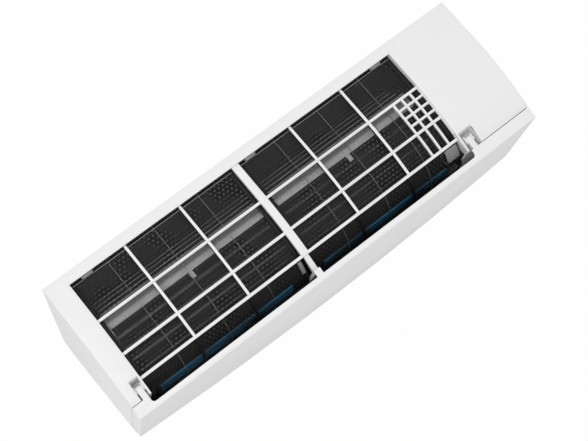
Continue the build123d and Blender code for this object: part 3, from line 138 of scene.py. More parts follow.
# Grille: its bars are 4.6 mm wide, and lower than GRILLE_MID under the crown they are narrowed to a share.
# Long bars are placed by distance from the wall in millimetres, and cross bars by x in metres.
BAR_REACH = 2.5
BAR_TAPER = 0.5
GRILLE_MID = 7.5
LONG_BARS = (91.0, 152.0, 194.6)
CROSS_BARS = (-0.261, -0.1562, 0.0617, 0.1665)

# Coil in metres: tubes at one pitch down each fin pack, in two rows at shares of its depth, with prisms for
# collars; and the length of one slope of a fin's wave
TUBE_PITCH = 0.021
TUBE_RADIUS = 0.0035
TUBE_SHARES = (0.25, 0.75)
COLLAR_WALL = 0.0004
COLLAR_SIDES = 12
COLLAR_INSET = 0.001
RIPPLE = 0.0055

# Light strips on the rear pack, coloured as painted highlights on its ridges: distance down its face and
# width in millimetres, and brightness against the crest highlights, brightest at the top where the pack faces
# the light; then their lift in millimetres, and the inset of their ends in metres
LINES = ((9.2, 2.4, 1.5), (31.2, 1.3, 1.1), (50.4, 1.2, 1.0))
LINE_LIFT = 0.3
LINE_INSET = 0.003

# Cover strip: the drop in millimetres below which it is dark, and in metres the y where it turns from grey to
# a painted highlight on its front, and how softly
STRIP_LEVEL = 22.95
STRIP_EDGE = -0.0985
STRIP_SOFTNESS = 0.006

# Camera: place in metres and turn in the frame, lens and sensor in millimetres
CAMERA_AT = (-0.56841, -0.69391, 2.11715)
CAMERA_RIGHT = (0.77599, -0.62983, 0.03407)
CAMERA_UP = (0.57806, 0.73174, 0.36112)
CAMERA_BACK = (-0.25238, -0.26053, 0.93190)
LENS = 84.34
SENSOR = 36.0
SHIFT = (0.00499, -0.00526)
FAR = 50.0

# Floor: half its width and how far it lies below the unit, in metres, and the share the camera sees as white
FLOOR_REACH = 6.0
FLOOR_DROP = 0.35
FLOOR_SEEN = 0.97

# Lamps that face the unit: name, place and size in metres, power in watts
LAMPS = (("key lamp", (-1.4, -0.1, 2.8), 2.2, 27.0), ("fill lamp", (1.6, -0.8, 2.2), 2.4, 5.0))
AMBIENT = 0.72


# ---- settings
class WallUnitSizes(bpy.types.PropertyGroup):
    """Sizes of the dressed pieces, in metres"""
    edge_radius: bpy.props.FloatProperty(
        name="Moulded edge", description="Radius of the moulded edges of the white covers",
        default=0.0007, min=0.0001, max=0.003, unit="LENGTH")
    grille_edge: bpy.props.FloatProperty(
        name="Grille edge", description="Radius along the bars of the intake grille",
        default=0.0009, min=0.0001, max=0.002, unit="LENGTH")
    fin_pitch: bpy.props.FloatProperty(
        name="Fin pitch", description="Distance from one coil fin to the next",
        default=0.0015, min=0.001, max=0.006, unit="LENGTH")
    fin_wave: bpy.props.FloatProperty(
        name="Fin wave", description="Depth of the corrugation of each fin",
        default=0.0005, min=0.0, max=0.001, unit="LENGTH")
    fin_thickness: bpy.props.FloatProperty(
        name="Fin thickness", description="Thickness of the fin sheet",
        default=0.00016, min=0.00005, max=0.0005, unit="LENGTH")
    # Width of the painted highlight strip laid along each rib
    rib_width: bpy.props.FloatProperty(
        name="Rib line", description="Width of the light line along each fine filter rib",
        default=0.0006, min=0.0003, max=0.0014, unit="LENGTH")
    tooth_pitch: bpy.props.FloatProperty(
        name="Tooth pitch", description="Distance between the teeth on the back bar of each filter",
        default=0.0024, min=0.001, max=0.01, unit="LENGTH")
    net_pitch: bpy.props.FloatProperty(
        name="Net pitch", description="Distance between the strands of the filter net",
        default=0.0012, min=0.0005, max=0.004, unit="LENGTH")


class WallUnitColours(bpy.types.PropertyGroup):
    """Colours of the finishes"""
    cover: bpy.props.FloatVectorProperty(
        name="Covers", description="White plastic of the cabinet and the panel", subtype="COLOR", size=3,
        default=(0.86, 0.86, 0.86), min=0.0, max=1.0)
    net: bpy.props.FloatVectorProperty(
        name="Net", description="Woven net of the filters", subtype="COLOR", size=3,
        default=(0.012, 0.012, 0.013), min=0.0, max=1.0)
    filter_frame: bpy.props.FloatVectorProperty(
        name="Filter frame", description="Moulded frame of the filters", subtype="COLOR", size=3,
        default=(0.009, 0.009, 0.01), min=0.0, max=1.0)
    cartridge: bpy.props.FloatVectorProperty(
        name="Cartridge", description="Purifying cartridges behind the nets", subtype="COLOR", size=3,
        default=(0.008, 0.22, 0.4), min=0.0, max=1.0)
    fin: bpy.props.FloatVectorProperty(
        name="Fins", description="Coated fins of the coil", subtype="COLOR", size=3,
        default=(0.035, 0.036, 0.038), min=0.0, max=1.0)
    # Colour of the bare fin collars, which is real metal, and of the painted highlights laid as light lines
    # along the fin crests and the rear pack's ridges
    collar_and_crest_highlight: bpy.props.FloatVectorProperty(
        name="Fin crests", description="Bare metal on the crests of the fins and on their collars",
        subtype="COLOR", size=3, default=(0.55, 0.56, 0.58), min=0.0, max=1.0)
    # Colour of the painted highlight along the rounded fine ribs of the filters and along the front edge of
    # their back bars
    rib: bpy.props.FloatVectorProperty(
        name="Rib line", description="Light line along the fine ribs of the filters", subtype="COLOR", size=3,
        default=(0.42, 0.42, 0.42), min=0.0, max=1.0)
    copper: bpy.props.FloatVectorProperty(
        name="Copper", description="Tubes and refrigerant pipes", subtype="COLOR", size=3,
        default=(0.62, 0.25, 0.13), min=0.0, max=1.0)
    clear: bpy.props.FloatVectorProperty(
        name="Clear plastic", description="Pull tabs and clips of clear plastic", subtype="COLOR", size=3,
        default=(0.5, 0.51, 0.51), min=0.0, max=1.0)
    floor: bpy.props.FloatVectorProperty(
        name="Floor", description="Plain floor under the unit", subtype="COLOR", size=3,
        default=(0.9, 0.9, 0.9), min=0.0, max=1.0)


# ---- shader groups
def new_group(name, inputs, outputs):
    """Empty shader node group, and its inputs as sockets. An input with a tuple and an output called Colour
    are colours, and all others are floats."""
    group = bpy.data.node_groups.new(name, "ShaderNodeTree")
    for label, value in inputs.items():
        kind = "NodeSocketColor" if isinstance(value, tuple) else "NodeSocketFloat"
        group.interface.new_socket(name=label, in_out="INPUT", socket_type=kind).default_value = value
    for label in outputs:
        kind = "NodeSocketColor" if label == "Colour" else "NodeSocketFloat"
        group.interface.new_socket(name=label, in_out="OUTPUT", socket_type=kind)
    return group, group.nodes.new("NodeGroupInput").outputs


def add(tree, kind, **values):
    """Adds a node, sets its own fields, and sets the sockets given in inputs."""
    node = tree.nodes.new(kind)
    sockets = values.pop("inputs", {})
    for key, value in values.items():
        setattr(node, key, value)
    for key, value in sockets.items():
        node.inputs[key].default_value = value
    return node


def set_input(tree, socket, value):
    """Sets an input to a number, or links a socket to it."""
    if isinstance(value, (int, float)):
        socket.default_value = value
    else:
        tree.links.new(value, socket)


def calc(tree, operation, *values):
    """Output of a math node whose operands are sockets or numbers."""
    node = add(tree, "ShaderNodeMath", operation=operation)
    for index, value in enumerate(values):
        set_input(tree, node.inputs[index], value)
    return node.outputs[0]


def wave(tree, turns):
    """1 at whole turns and 0 halfway between them, as a cosine."""
    swing = calc(tree, "COSINE", calc(tree, "MULTIPLY", turns, 2 * math.pi))
    return calc(tree, "MULTIPLY", calc(tree, "ADD", swing, 1.0), 0.5)


def from_whole(tree, value):
    """Distance of a value from the nearest whole number."""
    return calc(tree, "ABSOLUTE", calc(tree, "SUBTRACT", value, calc(tree, "ROUND", value)))


def falling(tree, value):
    """1 less the value, and no less than 0."""
    return calc(tree, "MAXIMUM", calc(tree, "SUBTRACT", 1.0, value), 0.0)


def unrolled(tree):
    """Node whose X and Y outputs are the place on the UV map called unrolled, in metres."""
    split = add(tree, "ShaderNodeSeparateXYZ")
    place = add(tree, "ShaderNodeUVMap", uv_map="unrolled")
    tree.links.new(place.outputs["UV"], split.inputs[0])
    return split


def noise(tree, place, scale, detail, **inputs):
    """Noise texture on the Object output of a coordinate node; its scale is a number or a socket."""
    node = add(tree, "ShaderNodeTexNoise", inputs={"Detail": detail, **inputs})
    tree.links.new(place.outputs["Object"], node.inputs["Vector"])
    set_input(tree, node.inputs["Scale"], scale)
    return node


def uneven_value(tree, value, source, depth):
    """The value plus the noise about its middle, to a depth."""
    centred = calc(tree, "SUBTRACT", source.outputs["Fac"], 0.5)
    return calc(tree, "ADD", value, calc(tree, "MULTIPLY", centred, depth))


def tinted(tree, colour, level):
    """The colour times a level."""
    tint = add(tree, "ShaderNodeVectorMath", operation="SCALE")
    tree.links.new(colour, tint.inputs[0])
    tree.links.new(level, tint.inputs["Scale"])
    return tint.outputs["Vector"]


def finish_group(group, **sockets):
    """Links each socket to the group's output of that name."""
    end = group.nodes.new("NodeGroupOutput")
    for label, socket in sockets.items():
        group.links.new(socket, end.inputs[label])
    return group


def blend(tree, share, first, second):
    """Colour that goes from the first socket to the second with the share."""
    mix = add(tree, "ShaderNodeMix", data_type="RGBA")
    for index, socket in ((0, share), (6, first), (7, second)):
        tree.links.new(socket, mix.inputs[index])
    return mix.outputs[2]


def grain_group():
    """Moulded grain: two noises give a faint tone, an uneven roughness and a fine height."""
    group, given = new_group(
        "moulded grain", {"Colour": (0.8, 0.8, 0.8, 1), "Tone": 0.02, "Roughness": 0.4, "Grain size": 900.0},
        ("Colour", "Roughness", "Height"))
    place = add(group, "ShaderNodeTexCoord")
    fine = noise(group, place, given["Grain size"], 2.0, Roughness=0.6)
    broad = noise(group, place, 9.0, 3.0)
    level = uneven_value(group, 1.0, broad, given["Tone"])
    rough = uneven_value(group, given["Roughness"], fine, 0.12)
    colour = tinted(group, given["Colour"], level)
    return finish_group(group, Colour=colour, Roughness=rough, Height=fine.outputs["Fac"])


def weave_group():
    """Weave: strands both ways of the UV map, in metres, as sine ridges; the mask is 1 on a strand."""
    group, given = new_group("woven strands", {"Pitch": 0.0012, "Cover": 0.4}, ("Mask", "Height"))
    split = unrolled(group)
    turns = [calc(group, "DIVIDE", split.outputs[axis], given["Pitch"]) for axis in ("X", "Y")]
    ridge = calc(group, "MAXIMUM", wave(group, turns[0]), wave(group, turns[1]))
    edge = calc(group, "SUBTRACT", 1.0, given["Cover"])
    return finish_group(group, Mask=calc(group, "GREATER_THAN", ridge, edge), Height=ridge)


def knit_group():
    """Knit figures over a net, on the UV map in metres: diamonds inside soft patches, diagonals outside them.
    A diamond falls off with the sum of the distances from its centre both ways, in shares of the pitch."""
    group, given = new_group(
        "knit figures", {"Colour": (0.02, 0.02, 0.02, 1), "Light": (0.1, 0.1, 0.1, 1), "Width": 0.008,
                         "Height": 0.0065}, ("Colour",))
    split = unrolled(group)
    across = calc(group, "DIVIDE", split.outputs["X"], given["Width"])
    down = calc(group, "DIVIDE", split.outputs["Y"], given["Height"])
    row = calc(group, "MULTIPLY", calc(group, "ROUND", down), 0.5)
    offset = calc(group, "ADD", across, row)
    reach = calc(group, "ADD", from_whole(group, offset), from_whole(group, down))
    diamond = falling(group, calc(group, "MULTIPLY", reach, DIAMOND_FALL))
    turns = calc(group, "ADD", calc(group, "MULTIPLY", across, 2.0), down)
    hatch = calc(group, "ABSOLUTE", calc(group, "COSINE", calc(group, "MULTIPLY", turns, math.pi)))
    hatch = calc(group, "POWER", hatch, HATCH_POWER)
    soft = noise(group, add(group, "ShaderNodeTexCoord"), 22.0, 1.0)
    patch = add(group, "ShaderNodeMapRange", inputs={"From Min": 0.45, "From Max": 0.62})
    group.links.new(soft.outputs["Fac"], patch.inputs["Value"])
    other = calc(group, "SUBTRACT", 1.0, patch.outputs["Result"])
    diamond = calc(group, "MULTIPLY", diamond, patch.outputs["Result"])
    hatch = calc(group, "MULTIPLY", calc(group, "MULTIPLY", hatch, other), HATCH_DEPTH)
    figures = calc(group, "ADD", diamond, hatch)
    return finish_group(group, Colour=blend(group, figures, given["Colour"], given["Light"]))


def brushed_group():
    """Drawn or brushed metal: noise stretched along X for colour, roughness and height."""
    group, given = new_group(
        "drawn metal", {"Colour": (0.6, 0.6, 0.6, 1), "Roughness": 0.35, "Spots": 0.15},
        ("Colour", "Roughness", "Height"))
    place = add(group, "ShaderNodeTexCoord")
    stretch = add(group, "ShaderNodeMapping", inputs={"Scale": (8.0, 320.0, 320.0)})
    streak = add(group, "ShaderNodeTexNoise", inputs={"Scale": 1.0, "Detail": 4.0})
    group.links.new(place.outputs["Object"], stretch.inputs["Vector"])
    group.links.new(stretch.outputs["Vector"], streak.inputs["Vector"])
    stain = noise(group, place, 60.0, 3.0)
    dark = calc(group, "MULTIPLY", stain.outputs["Fac"], given["Spots"])
    level = calc(group, "SUBTRACT", 1.08, dark)
    rough = uneven_value(group, given["Roughness"], streak, 0.2)
    colour = tinted(group, given["Colour"], level)
    return finish_group(group, Colour=colour, Roughness=rough, Height=streak.outputs["Fac"])


def crest_highlight_group():
    """Painted highlights on fin crests: light lines at an even pitch along V of the UV map, in metres, over a
    dark colour.
    """
    group, given = new_group(
        "painted crest highlights", {"Dark": (0.05, 0.05, 0.05, 1), "Light": (0.5, 0.5, 0.5, 1), "Pitch": 0.0148,
                       "Offset": 0.0, "Share": 0.1}, ("Colour",))
    split = unrolled(group)
    run = calc(group, "SUBTRACT", split.outputs["Y"], given["Offset"])
    turns = calc(group, "DIVIDE", run, given["Pitch"])
    line = falling(group, calc(group, "DIVIDE", from_whole(group, turns), given["Share"]))
    uneven = noise(group, add(group, "ShaderNodeTexCoord"), 55.0, 2.0)
    mask = calc(group, "MULTIPLY", line, calc(group, "ADD", uneven.outputs["Fac"], 0.4))
    mask = calc(group, "MINIMUM", mask, 1.0)
    return finish_group(group, Colour=blend(group, mask, given["Dark"], given["Light"]))


def lit_front_tones_group():
    """Two tones across Y, a darker back and a front painted lighter as a highlight, with a soft edge between
    them, and a third one below a level Z."""
    group, given = new_group(
        "grey back and painted lit front", {"Back": (0.3, 0.3, 0.3, 1), "Front": (0.7, 0.7, 0.7, 1), "Low": (0.05, 0.05, 0.05, 1),
                      "Edge": -0.097, "Softness": 0.003, "Level": 0.12}, ("Colour", "Height"))
    place = add(group, "ShaderNodeTexCoord")
    split = add(group, "ShaderNodeSeparateXYZ")
    group.links.new(place.outputs["Object"], split.inputs[0])
    broad = noise(group, place, 6.0, 1.0)
    edge = uneven_value(group, given["Edge"], broad, 0.008)
    past = calc(group, "SUBTRACT", edge, split.outputs["Y"])
    share = calc(group, "ADD", calc(group, "DIVIDE", past, given["Softness"]), 0.5)
    share = calc(group, "MINIMUM", calc(group, "MAXIMUM", share, 0.0), 1.0)
    mixed = blend(group, share, given["Back"], given["Front"])
    below = calc(group, "LESS_THAN", split.outputs["Z"], given["Level"])
    return finish_group(group, Colour=blend(group, below, mixed, given["Low"]), Height=broad.outputs["Fac"])


def patch_group():
    """Patches: broad soft noise that darkens a colour in places."""
    group, given = new_group(
        "soft patches", {"Colour": (0.1, 0.2, 0.3, 1), "Depth": 0.6, "Roughness": 0.5},
        ("Colour", "Roughness", "Height"))
    place = add(group, "ShaderNodeTexCoord")
    broad = noise(group, place, 14.0, 2.0)
    fine = noise(group, place, 400.0, 2.0)
    ramp = add(group, "ShaderNodeMapRange", inputs={"From Min": 0.42, "From Max": 0.6})
    group.links.new(broad.outputs["Fac"], ramp.inputs["Value"])
    dark = calc(group, "MULTIPLY", ramp.outputs["Result"], given["Depth"])
    colour = tinted(group, given["Colour"], calc(group, "SUBTRACT", 1.0, dark))
    rough = uneven_value(group, given["Roughness"], fine, 0.1)
    return finish_group(group, Colour=colour, Roughness=rough, Height=fine.outputs["Fac"])


def stitch_group():
    """Stitches: a line broken into light dots at an even pitch along V of the UV map, in metres."""
    group, given = new_group(
        "stitches", {"Colour": (0.3, 0.3, 0.3, 1), "Pitch": 0.0036, "Depth": 0.5}, ("Colour", "Height"))
    split = unrolled(group)
    dot = wave(group, calc(group, "DIVIDE", split.outputs["Y"], given["Pitch"]))
    dark = calc(group, "MULTIPLY", calc(group, "SUBTRACT", 1.0, dot), given["Depth"])
    colour = tinted(group, given["Colour"], calc(group, "SUBTRACT", 1.0, dark))
    return finish_group(group, Colour=colour, Height=dot)


def place_group(tree, name, maker, **inputs):
    """Puts a shared group, made on first use, into a material and sets its inputs."""
    inputs = {key.replace("_", " "): value for key, value in inputs.items()}
    return add(tree, "ShaderNodeGroup", node_tree=bpy.data.node_groups.get(name) or maker(), inputs=inputs)


def start_material(name):
    """Material with a Principled shader, ready to be linked."""
    material = bpy.data.materials.new(name)
    material.use_nodes = True
    return material, material.node_tree, material.node_tree.nodes["Principled BSDF"]


def feed(tree, shader, colour, rough):
    """Feeds the colour of one group and the roughness of another, or of the same one, into the shader."""
    tree.links.new(colour.outputs["Colour"], shader.inputs["Base Color"])
    tree.links.new(rough.outputs["Roughness"], shader.inputs["Roughness"])


def bump(tree, height, shader, strength, distance):
    """Feeds a height into the shader's normal."""
    node = add(tree, "ShaderNodeBump", inputs={"Strength": strength, "Distance": distance})
    tree.links.new(height, node.inputs["Height"])
    tree.links.new(node.outputs["Normal"], shader.inputs["Normal"])


def plastic(name, colour, roughness=0.4, grain=900.0, tone=0.02, sheen=0.5):
    """Moulded plastic: the grain group drives colour, roughness and bump."""
    material, tree, shader = start_material(name)
    grain_node = place_group(tree, "moulded grain", grain_group, Colour=(*colour, 1), Tone=tone,
                             Roughness=roughness, Grain_size=grain)
    feed(tree, shader, grain_node, grain_node)
    bump(tree, grain_node.outputs["Height"], shader, strength=0.25, distance=0.00004)
    shader.inputs["Specular IOR Level"].default_value = sheen
    return material


def metal(name, colour, roughness=0.35, spots=0.15, metallic=1.0):
    """Metal: the drawn metal group drives colour, roughness and bump."""
    material, tree, shader = start_material(name)
    drawn = place_group(tree, "drawn metal", brushed_group, Colour=(*colour, 1), Roughness=roughness,
                        Spots=spots)
    feed(tree, shader, drawn, drawn)
    bump(tree, drawn.outputs["Height"], shader, strength=0.2, distance=0.0001)
    shader.inputs["Metallic"].default_value = metallic
    return material


# ---- shared geometry
def settings():
    """The size and colour settings of the scene."""
    return bpy.context.scene.wall_unit_sizes, bpy.context.scene.wall_unit_colours


def body_of(node):
    """Name of the CAD body that a node rides on."""
    return frame["nodes"][node]["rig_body"]


def put(name, data):
    """New object of that name in the scene."""
    thing = bpy.data.objects.new(name, data)
    bpy.context.scene.collection.objects.link(thing)
    return thing


def mesh_piece(name, points, faces, material, body, slot, smooth=False):
    """New mesh object from an array of points in metres and a list or array of faces."""
    mesh = bpy.data.meshes.new(name)
    faces = faces if isinstance(faces, list) else np.asarray(faces).tolist()
    mesh.from_pydata(np.asarray(points, float).tolist(), [], faces)
    mesh.validate()
    mesh.materials.append(material)
    if smooth:
        mesh.shade_smooth()
    piece = put(name, mesh)
    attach(piece, body)
    return piece


def finish_node(node, material):
    """Gives a CAD node its finish."""
    mesh = frame["nodes"][node].data
    mesh.materials.clear()
    mesh.materials.append(material)


def rounded_copy(node, material, radius, angle=32.0, segments=2):
    """Copy of a CAD node with merged faces and a bevel along its edges, standing for the node."""
    mesh = frame["nodes"][node].data.copy()
    mesh.name = node + "_cover"
    work = bmesh.new()
    work.from_mesh(mesh)
    bmesh.ops.remove_doubles(work, verts=work.verts, dist=1e-6)
    bmesh.ops.dissolve_limit(work, angle_limit=math.radians(1.0), verts=work.verts, edges=work.edges)
    work.to_mesh(mesh)
    work.free()
    mesh.materials.clear()
    mesh.materials.append(material)
    mesh.shade_smooth()
    piece = put(node + "_cover", mesh)
    bevel = piece.modifiers.new("edges", "BEVEL")
    bevel.width = radius
    bevel.segments = segments
    bevel.limit_method = "ANGLE"
    bevel.angle_limit = math.radians(angle)
    bevel.harden_normals = True
    bevel.use_clamp_overlap = True
    bevel.miter_outer = "MITER_ARC"
    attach(piece, body_of(node))
    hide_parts(node)
    return piece


def squeeze(values, centres, reach, share, chosen=True):
    """Moves the chosen values that lie within reach of a centre toward it, to a share of their distance."""
    for centre in centres:
        near = chosen & (np.abs(values - centre) < reach)
        values[near] = centre + (values[near] - centre) * share


def reshape_copy(piece, change):
    """Runs change on a piece's vertex array and writes it back."""
    mesh = piece.data
    points = np.zeros(len(mesh.vertices) * 3, np.float32)
    mesh.vertices.foreach_get("co", points)
    points = points.reshape(-1, 3)
    change(points)
    mesh.vertices.foreach_set("co", points.ravel())
    mesh.update()


def taper_bars(points):
    """Narrows the feet of the grille's cross and long bars; their tops keep their width."""
    d, h = -points[:, 1] / MM, TOP - points[:, 2] / MM
    low = (h - crown_drop(d) > GRILLE_MID) & (d < LONG_BARS[-1] + BAR_REACH)
    squeeze(points[:, 0], CROSS_BARS, BAR_REACH * MM, BAR_TAPER, low)
    squeeze(points[:, 1], [-MM * bar for bar in LONG_BARS], BAR_REACH * MM, BAR_TAPER, low)


def to_frame(x, d, h):
    """Frame coordinates in metres of points given by x in metres and (d, h) in millimetres."""
    return np.stack([x, -np.asarray(d) * MM, (TOP - np.asarray(h)) * MM], axis=-1)


def to_profile(points):
    """(d, h) in millimetres of points given as (y, z) in metres."""
    return np.stack([-points[:, 0] / MM, TOP - points[:, 1] / MM], axis=1)


def crown_drop(d):
    """Drop of the crowned top: a flat ramp up to the crown's start, and then an arc that leaves it level."""
    run = SEAM[0] - CROWN_START
    fall = SEAM[1] - CROWN_LEVEL
    radius = (run ** 2 + fall ** 2) / (2 * fall)
    ramp = CROWN_LEVEL * (d - RAMP_START) / (CROWN_START - RAMP_START)
    arc = CROWN_LEVEL + radius - np.sqrt(radius ** 2 - np.maximum(d - CROWN_START, 0) ** 2)
    return np.where(d <= CROWN_START, ramp, arc)


def filter_path(inset, steps=(28, 26, 22)):
    """Profile of a filter: crowned top, arc round the bend, then a straight leaning run to the foot."""
    first = np.radians(BEND_START_ANGLE)
    last = np.radians(BEND_END_ANGLE)
    radius = BEND_RADIUS - inset
    lead = BEND_CENTRE[0] + BEND_RADIUS * np.cos(first)
    back = np.linspace(FILTER_BACK, lead, steps[0], endpoint=False)
    crown = np.stack([back, crown_drop(back) + FILTER_DROP + inset], axis=1)
    turn = np.linspace(first, last, steps[1], endpoint=False)
    bend = np.stack([BEND_CENTRE[0] + radius * np.cos(turn), BEND_CENTRE[1] + radius * np.sin(turn)], axis=1)
    drop = np.linspace(BEND_CENTRE[1] + BEND_RADIUS * np.sin(last), FILTER_FOOT, steps[2])
    run = BEND_CENTRE[0] + BEND_RADIUS * np.cos(last) - RUN_SLOPE * (drop - drop[0]) - inset
    return np.concatenate([crown, bend, np.stack([run, drop], axis=1)])


def grid_faces(rows, columns):
    """Quads of a grid of points in row order."""
    index = np.arange(rows * columns).reshape(rows, columns)
    corners = (index[:-1, :-1], index[1:, :-1], index[1:, 1:], index[:-1, 1:])
    return np.stack([c.ravel() for c in corners], axis=1)


def band(path, x0, x1, columns):
    """Sheet that carries a side profile along X: a grid of path points by columns of x, in metres."""
    x = np.linspace(x0, x1, columns)
    d, h = (np.repeat(path[:, i][:, None], columns, axis=1) for i in (0, 1))
    points = to_frame(np.broadcast_to(x, d.shape), d, h)
    return points.reshape(-1, 3), grid_faces(len(path), columns)


def path_lengths(path):
    """Length along a side profile at each of its points, in metres."""
    return np.concatenate([[0], np.cumsum(np.hypot(*np.diff(path, axis=0).T))]) * MM


def write_uv(piece, u, v):
    """Writes one (u, v) per vertex into the UV map called unrolled."""
    corner = np.zeros(len(piece.data.loops), np.int32)
    piece.data.loops.foreach_get("vertex_index", corner)
    layer = piece.data.uv_layers.new(name="unrolled")
    layer.data.foreach_set("uv", np.stack([u[corner], v[corner]], axis=1).astype(np.float32).ravel())


def sleeve(outer, inner, x0, x1):
    """Closed strip of four rims along a side profile, with a face over each end: two rims on the outer path
    and two on the inner one, at x0 and x1 in metres."""
    rows = len(outer)
    points = np.stack([to_frame(np.full(rows, x), path[:, 0], path[:, 1])
                       for path, x in ((outer, x0), (outer, x1), (inner, x1), (inner, x0))], axis=1)
    start = np.arange(rows - 1)[:, None] * 4
    rim = np.arange(4)[None]
    after = (rim + 1) % 4
    sides = np.stack([start + rim, start + after, start + 4 + after, start + 4 + rim], axis=-1).reshape(-1, 4)
    ends = np.array([[3, 2, 1, 0], [4 * rows - 4, 4 * rows - 3, 4 * rows - 2, 4 * rows - 1]])
    return points.reshape(-1, 3), np.concatenate([sides, ends])


def blocks(x0, x1, profile):
    """Row of prisms: the same closed side profile, in (d, h), from each x0 to each x1, in metres."""
    sides = len(profile)
    x = np.stack([np.repeat(np.asarray(x)[:, None], sides, axis=1) for x in (x0, x1)], axis=1)
    points = to_frame(x, *(np.broadcast_to(profile[:, i], x.shape) for i in (0, 1)))
    base = np.arange(len(x))[:, None, None] * 2 * sides
    rim = np.arange(sides)
    after = (rim + 1) % sides
    quads = np.stack([rim, after, after + sides, rim + sides], axis=1)
    walls = (base + quads[None]).reshape(-1, 4).tolist()
    caps = [(start + rim[::-1]).tolist() for start in base[:, 0, 0]]
    caps += [(start + sides + rim).tolist() for start in base[:, 0, 0]]
    return points.reshape(-1, 3), walls + caps


def merge(*parts):
    """Joins (points, faces) pairs into one."""
    points, faces, start = [], [], 0
    for some, quads in parts:
        points.append(some)
        faces += [[int(i) + start for i in quad] for quad in quads]
        start += len(some)
    return np.concatenate(points), faces


# ---- covers
class WALLUNIT_OT_covers(bpy.types.Operator):
    """Make the white moulded covers: cabinet, panel, louver, grille and hinge ears"""
    bl_idname = "wall_unit.covers"
    bl_label = "Covers"

    def execute(self, context):
        sizes, colours = settings()
        white = plastic("cover white", colours.cover, roughness=0.42, grain=1400.0, tone=0.012)
        for node in ("front_frame", "front_panel", "louver"):
            rounded_copy(node, white, sizes.edge_radius)
        grille = rounded_copy("intake_grille", white, sizes.grille_edge, segments=3)
        reshape_copy(grille, taper_bars)
        rounded_copy("hinge_ears", white, sizes.edge_radius * EAR_SHARE)
        return {"FINISHED"}


# ---- filters
def net_material(colours, sizes):
    """Woven net: strands are dark plastic and the gaps between them are open."""
    material, tree, shader = start_material("filter net")
    weave = place_group(tree, "woven strands", weave_group, Pitch=sizes.net_pitch, Cover=NET_COVER)
    grain_node = place_group(tree, "moulded grain", grain_group, Colour=(*colours.net, 1), Tone=0.3,
                             Roughness=0.6, Grain_size=700.0)
    knit = place_group(tree, "knit figures", knit_group, Light=NET_FIGURE)
    tree.links.new(grain_node.outputs["Colour"], knit.inputs["Colour"])
    feed(tree, shader, knit, grain_node)
    tree.links.new(weave.outputs["Mask"], shader.inputs["Alpha"])
    bump(tree, weave.outputs["Height"], shader, strength=0.5, distance=0.0002)
    shader.inputs["Specular IOR Level"].default_value = 0.25
    return material


def rib_highlight_material(colours):
    """Painted highlight along a filter rib, broken by the strands that cross it; the edge lines of the back
    bars use it too.
    """
    material, tree, shader = start_material("filter rib highlight")
    stitches = place_group(tree, "stitches", stitch_group, Colour=(*colours.rib, 1), Depth=0.8)
    tree.links.new(stitches.outputs["Colour"], shader.inputs["Base Color"])
    bump(tree, stitches.outputs["Height"], shader, strength=0.4, distance=0.0002)
    shader.inputs["Roughness"].default_value = 0.5
    return material


def rib_centres(low, high):
    """The x of the fine ribs of a filter frame that reaches from low to high."""
    return (low + high) / 2 + (high - low) * RIB_SHARE * np.array([-1, 0, 1])


class WALLUNIT_OT_filters(bpy.types.Operator):
    """Make the filter frames, their woven nets, painted rib highlight lines and toothed back bars"""
    bl_idname = "wall_unit.filters"
    bl_label = "Filters"

    def execute(self, context):
        sizes, colours = settings()
        dark = plastic("filter frame", colours.filter_frame, roughness=0.5, tone=0.1, sheen=0.25)
        net = net_material(colours, sizes)
        highlight = rib_highlight_material(colours)
        for side in ("left", "right"):
            holder = rounded_copy("filter_frame_" + side, dark, radius=0.0001, segments=1)
            low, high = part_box("filter_frame_" + side)
            centres = rib_centres(low.x, high.x) + RIB_SHIFT[side]
            share = sizes.rib_width / RIB_WIDE
            reshape_copy(holder, lambda points: squeeze(points[:, 0], centres, RIB_REACH * MM, share))
            low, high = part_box("filter_mesh_" + side)
            path = filter_path(NET_INSET)
            points, faces = band(path, low.x, high.x, NET_COLUMNS)
            piece = mesh_piece("filter_net_" + side, points, faces, net, "cabinet", "filter_net", smooth=True)
            across = np.tile(np.linspace(low.x, high.x, NET_COLUMNS), len(path))
            write_uv(piece, across, np.repeat(path_lengths(path), NET_COLUMNS))
            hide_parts("filter_mesh_" + side)
            low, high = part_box("filter_frame_" + side)
            outer, inner = filter_path(-RIB_PROUD), filter_path(RIB_PROUD)
            # Painted highlight: a light strip along each rounded rib
            for i, x in enumerate(centres):
                x0, x1 = x - sizes.rib_width / 2, x + sizes.rib_width / 2
                strip = sleeve(outer, inner, x0, x1)
                line = mesh_piece(f"filter_rib_highlight_{side}_{i + 1}", *strip, highlight, "cabinet", "filter_dark")
                write_uv(line, np.tile((x0, x1, x1, x0), len(outer)), np.repeat(path_lengths(outer), 4))
            self.back_bar(side, low.x, high.x, dark, highlight)
        return {"FINISHED"}

    def back_bar(self, side, low, high, dark, highlight):
        """Two rows of teeth and a painted highlight line along the back bar of a filter."""
        sizes, _ = settings()
        level = float(crown_drop(FILTER_BACK)) + FILTER_DROP + BAR_LIFT
        start = np.arange(low + TOOTH_INSET[0], high - TOOTH_INSET[1], sizes.tooth_pitch)
        end = start + sizes.tooth_pitch * TOOTH_SHARE
        rows = [blocks(start, end, TOOTH + (FILTER_BACK + near, level)) for near in TOOTH_ROWS]
        mesh_piece(f"filter_teeth_{side}", *merge(*rows), dark, "cabinet", "filter_dark")
        edge = BACK_LINE + (FILTER_BACK + BAR_DEEP, level)
        strip = blocks([low + BACK_LINE_INSET], [high - BACK_LINE_INSET], edge)
        line = mesh_piece(f"filter_back_line_{side}", *strip, highlight, "cabinet", "filter_dark")
        flat = np.zeros(len(line.data.vertices))
        write_uv(line, flat, flat)


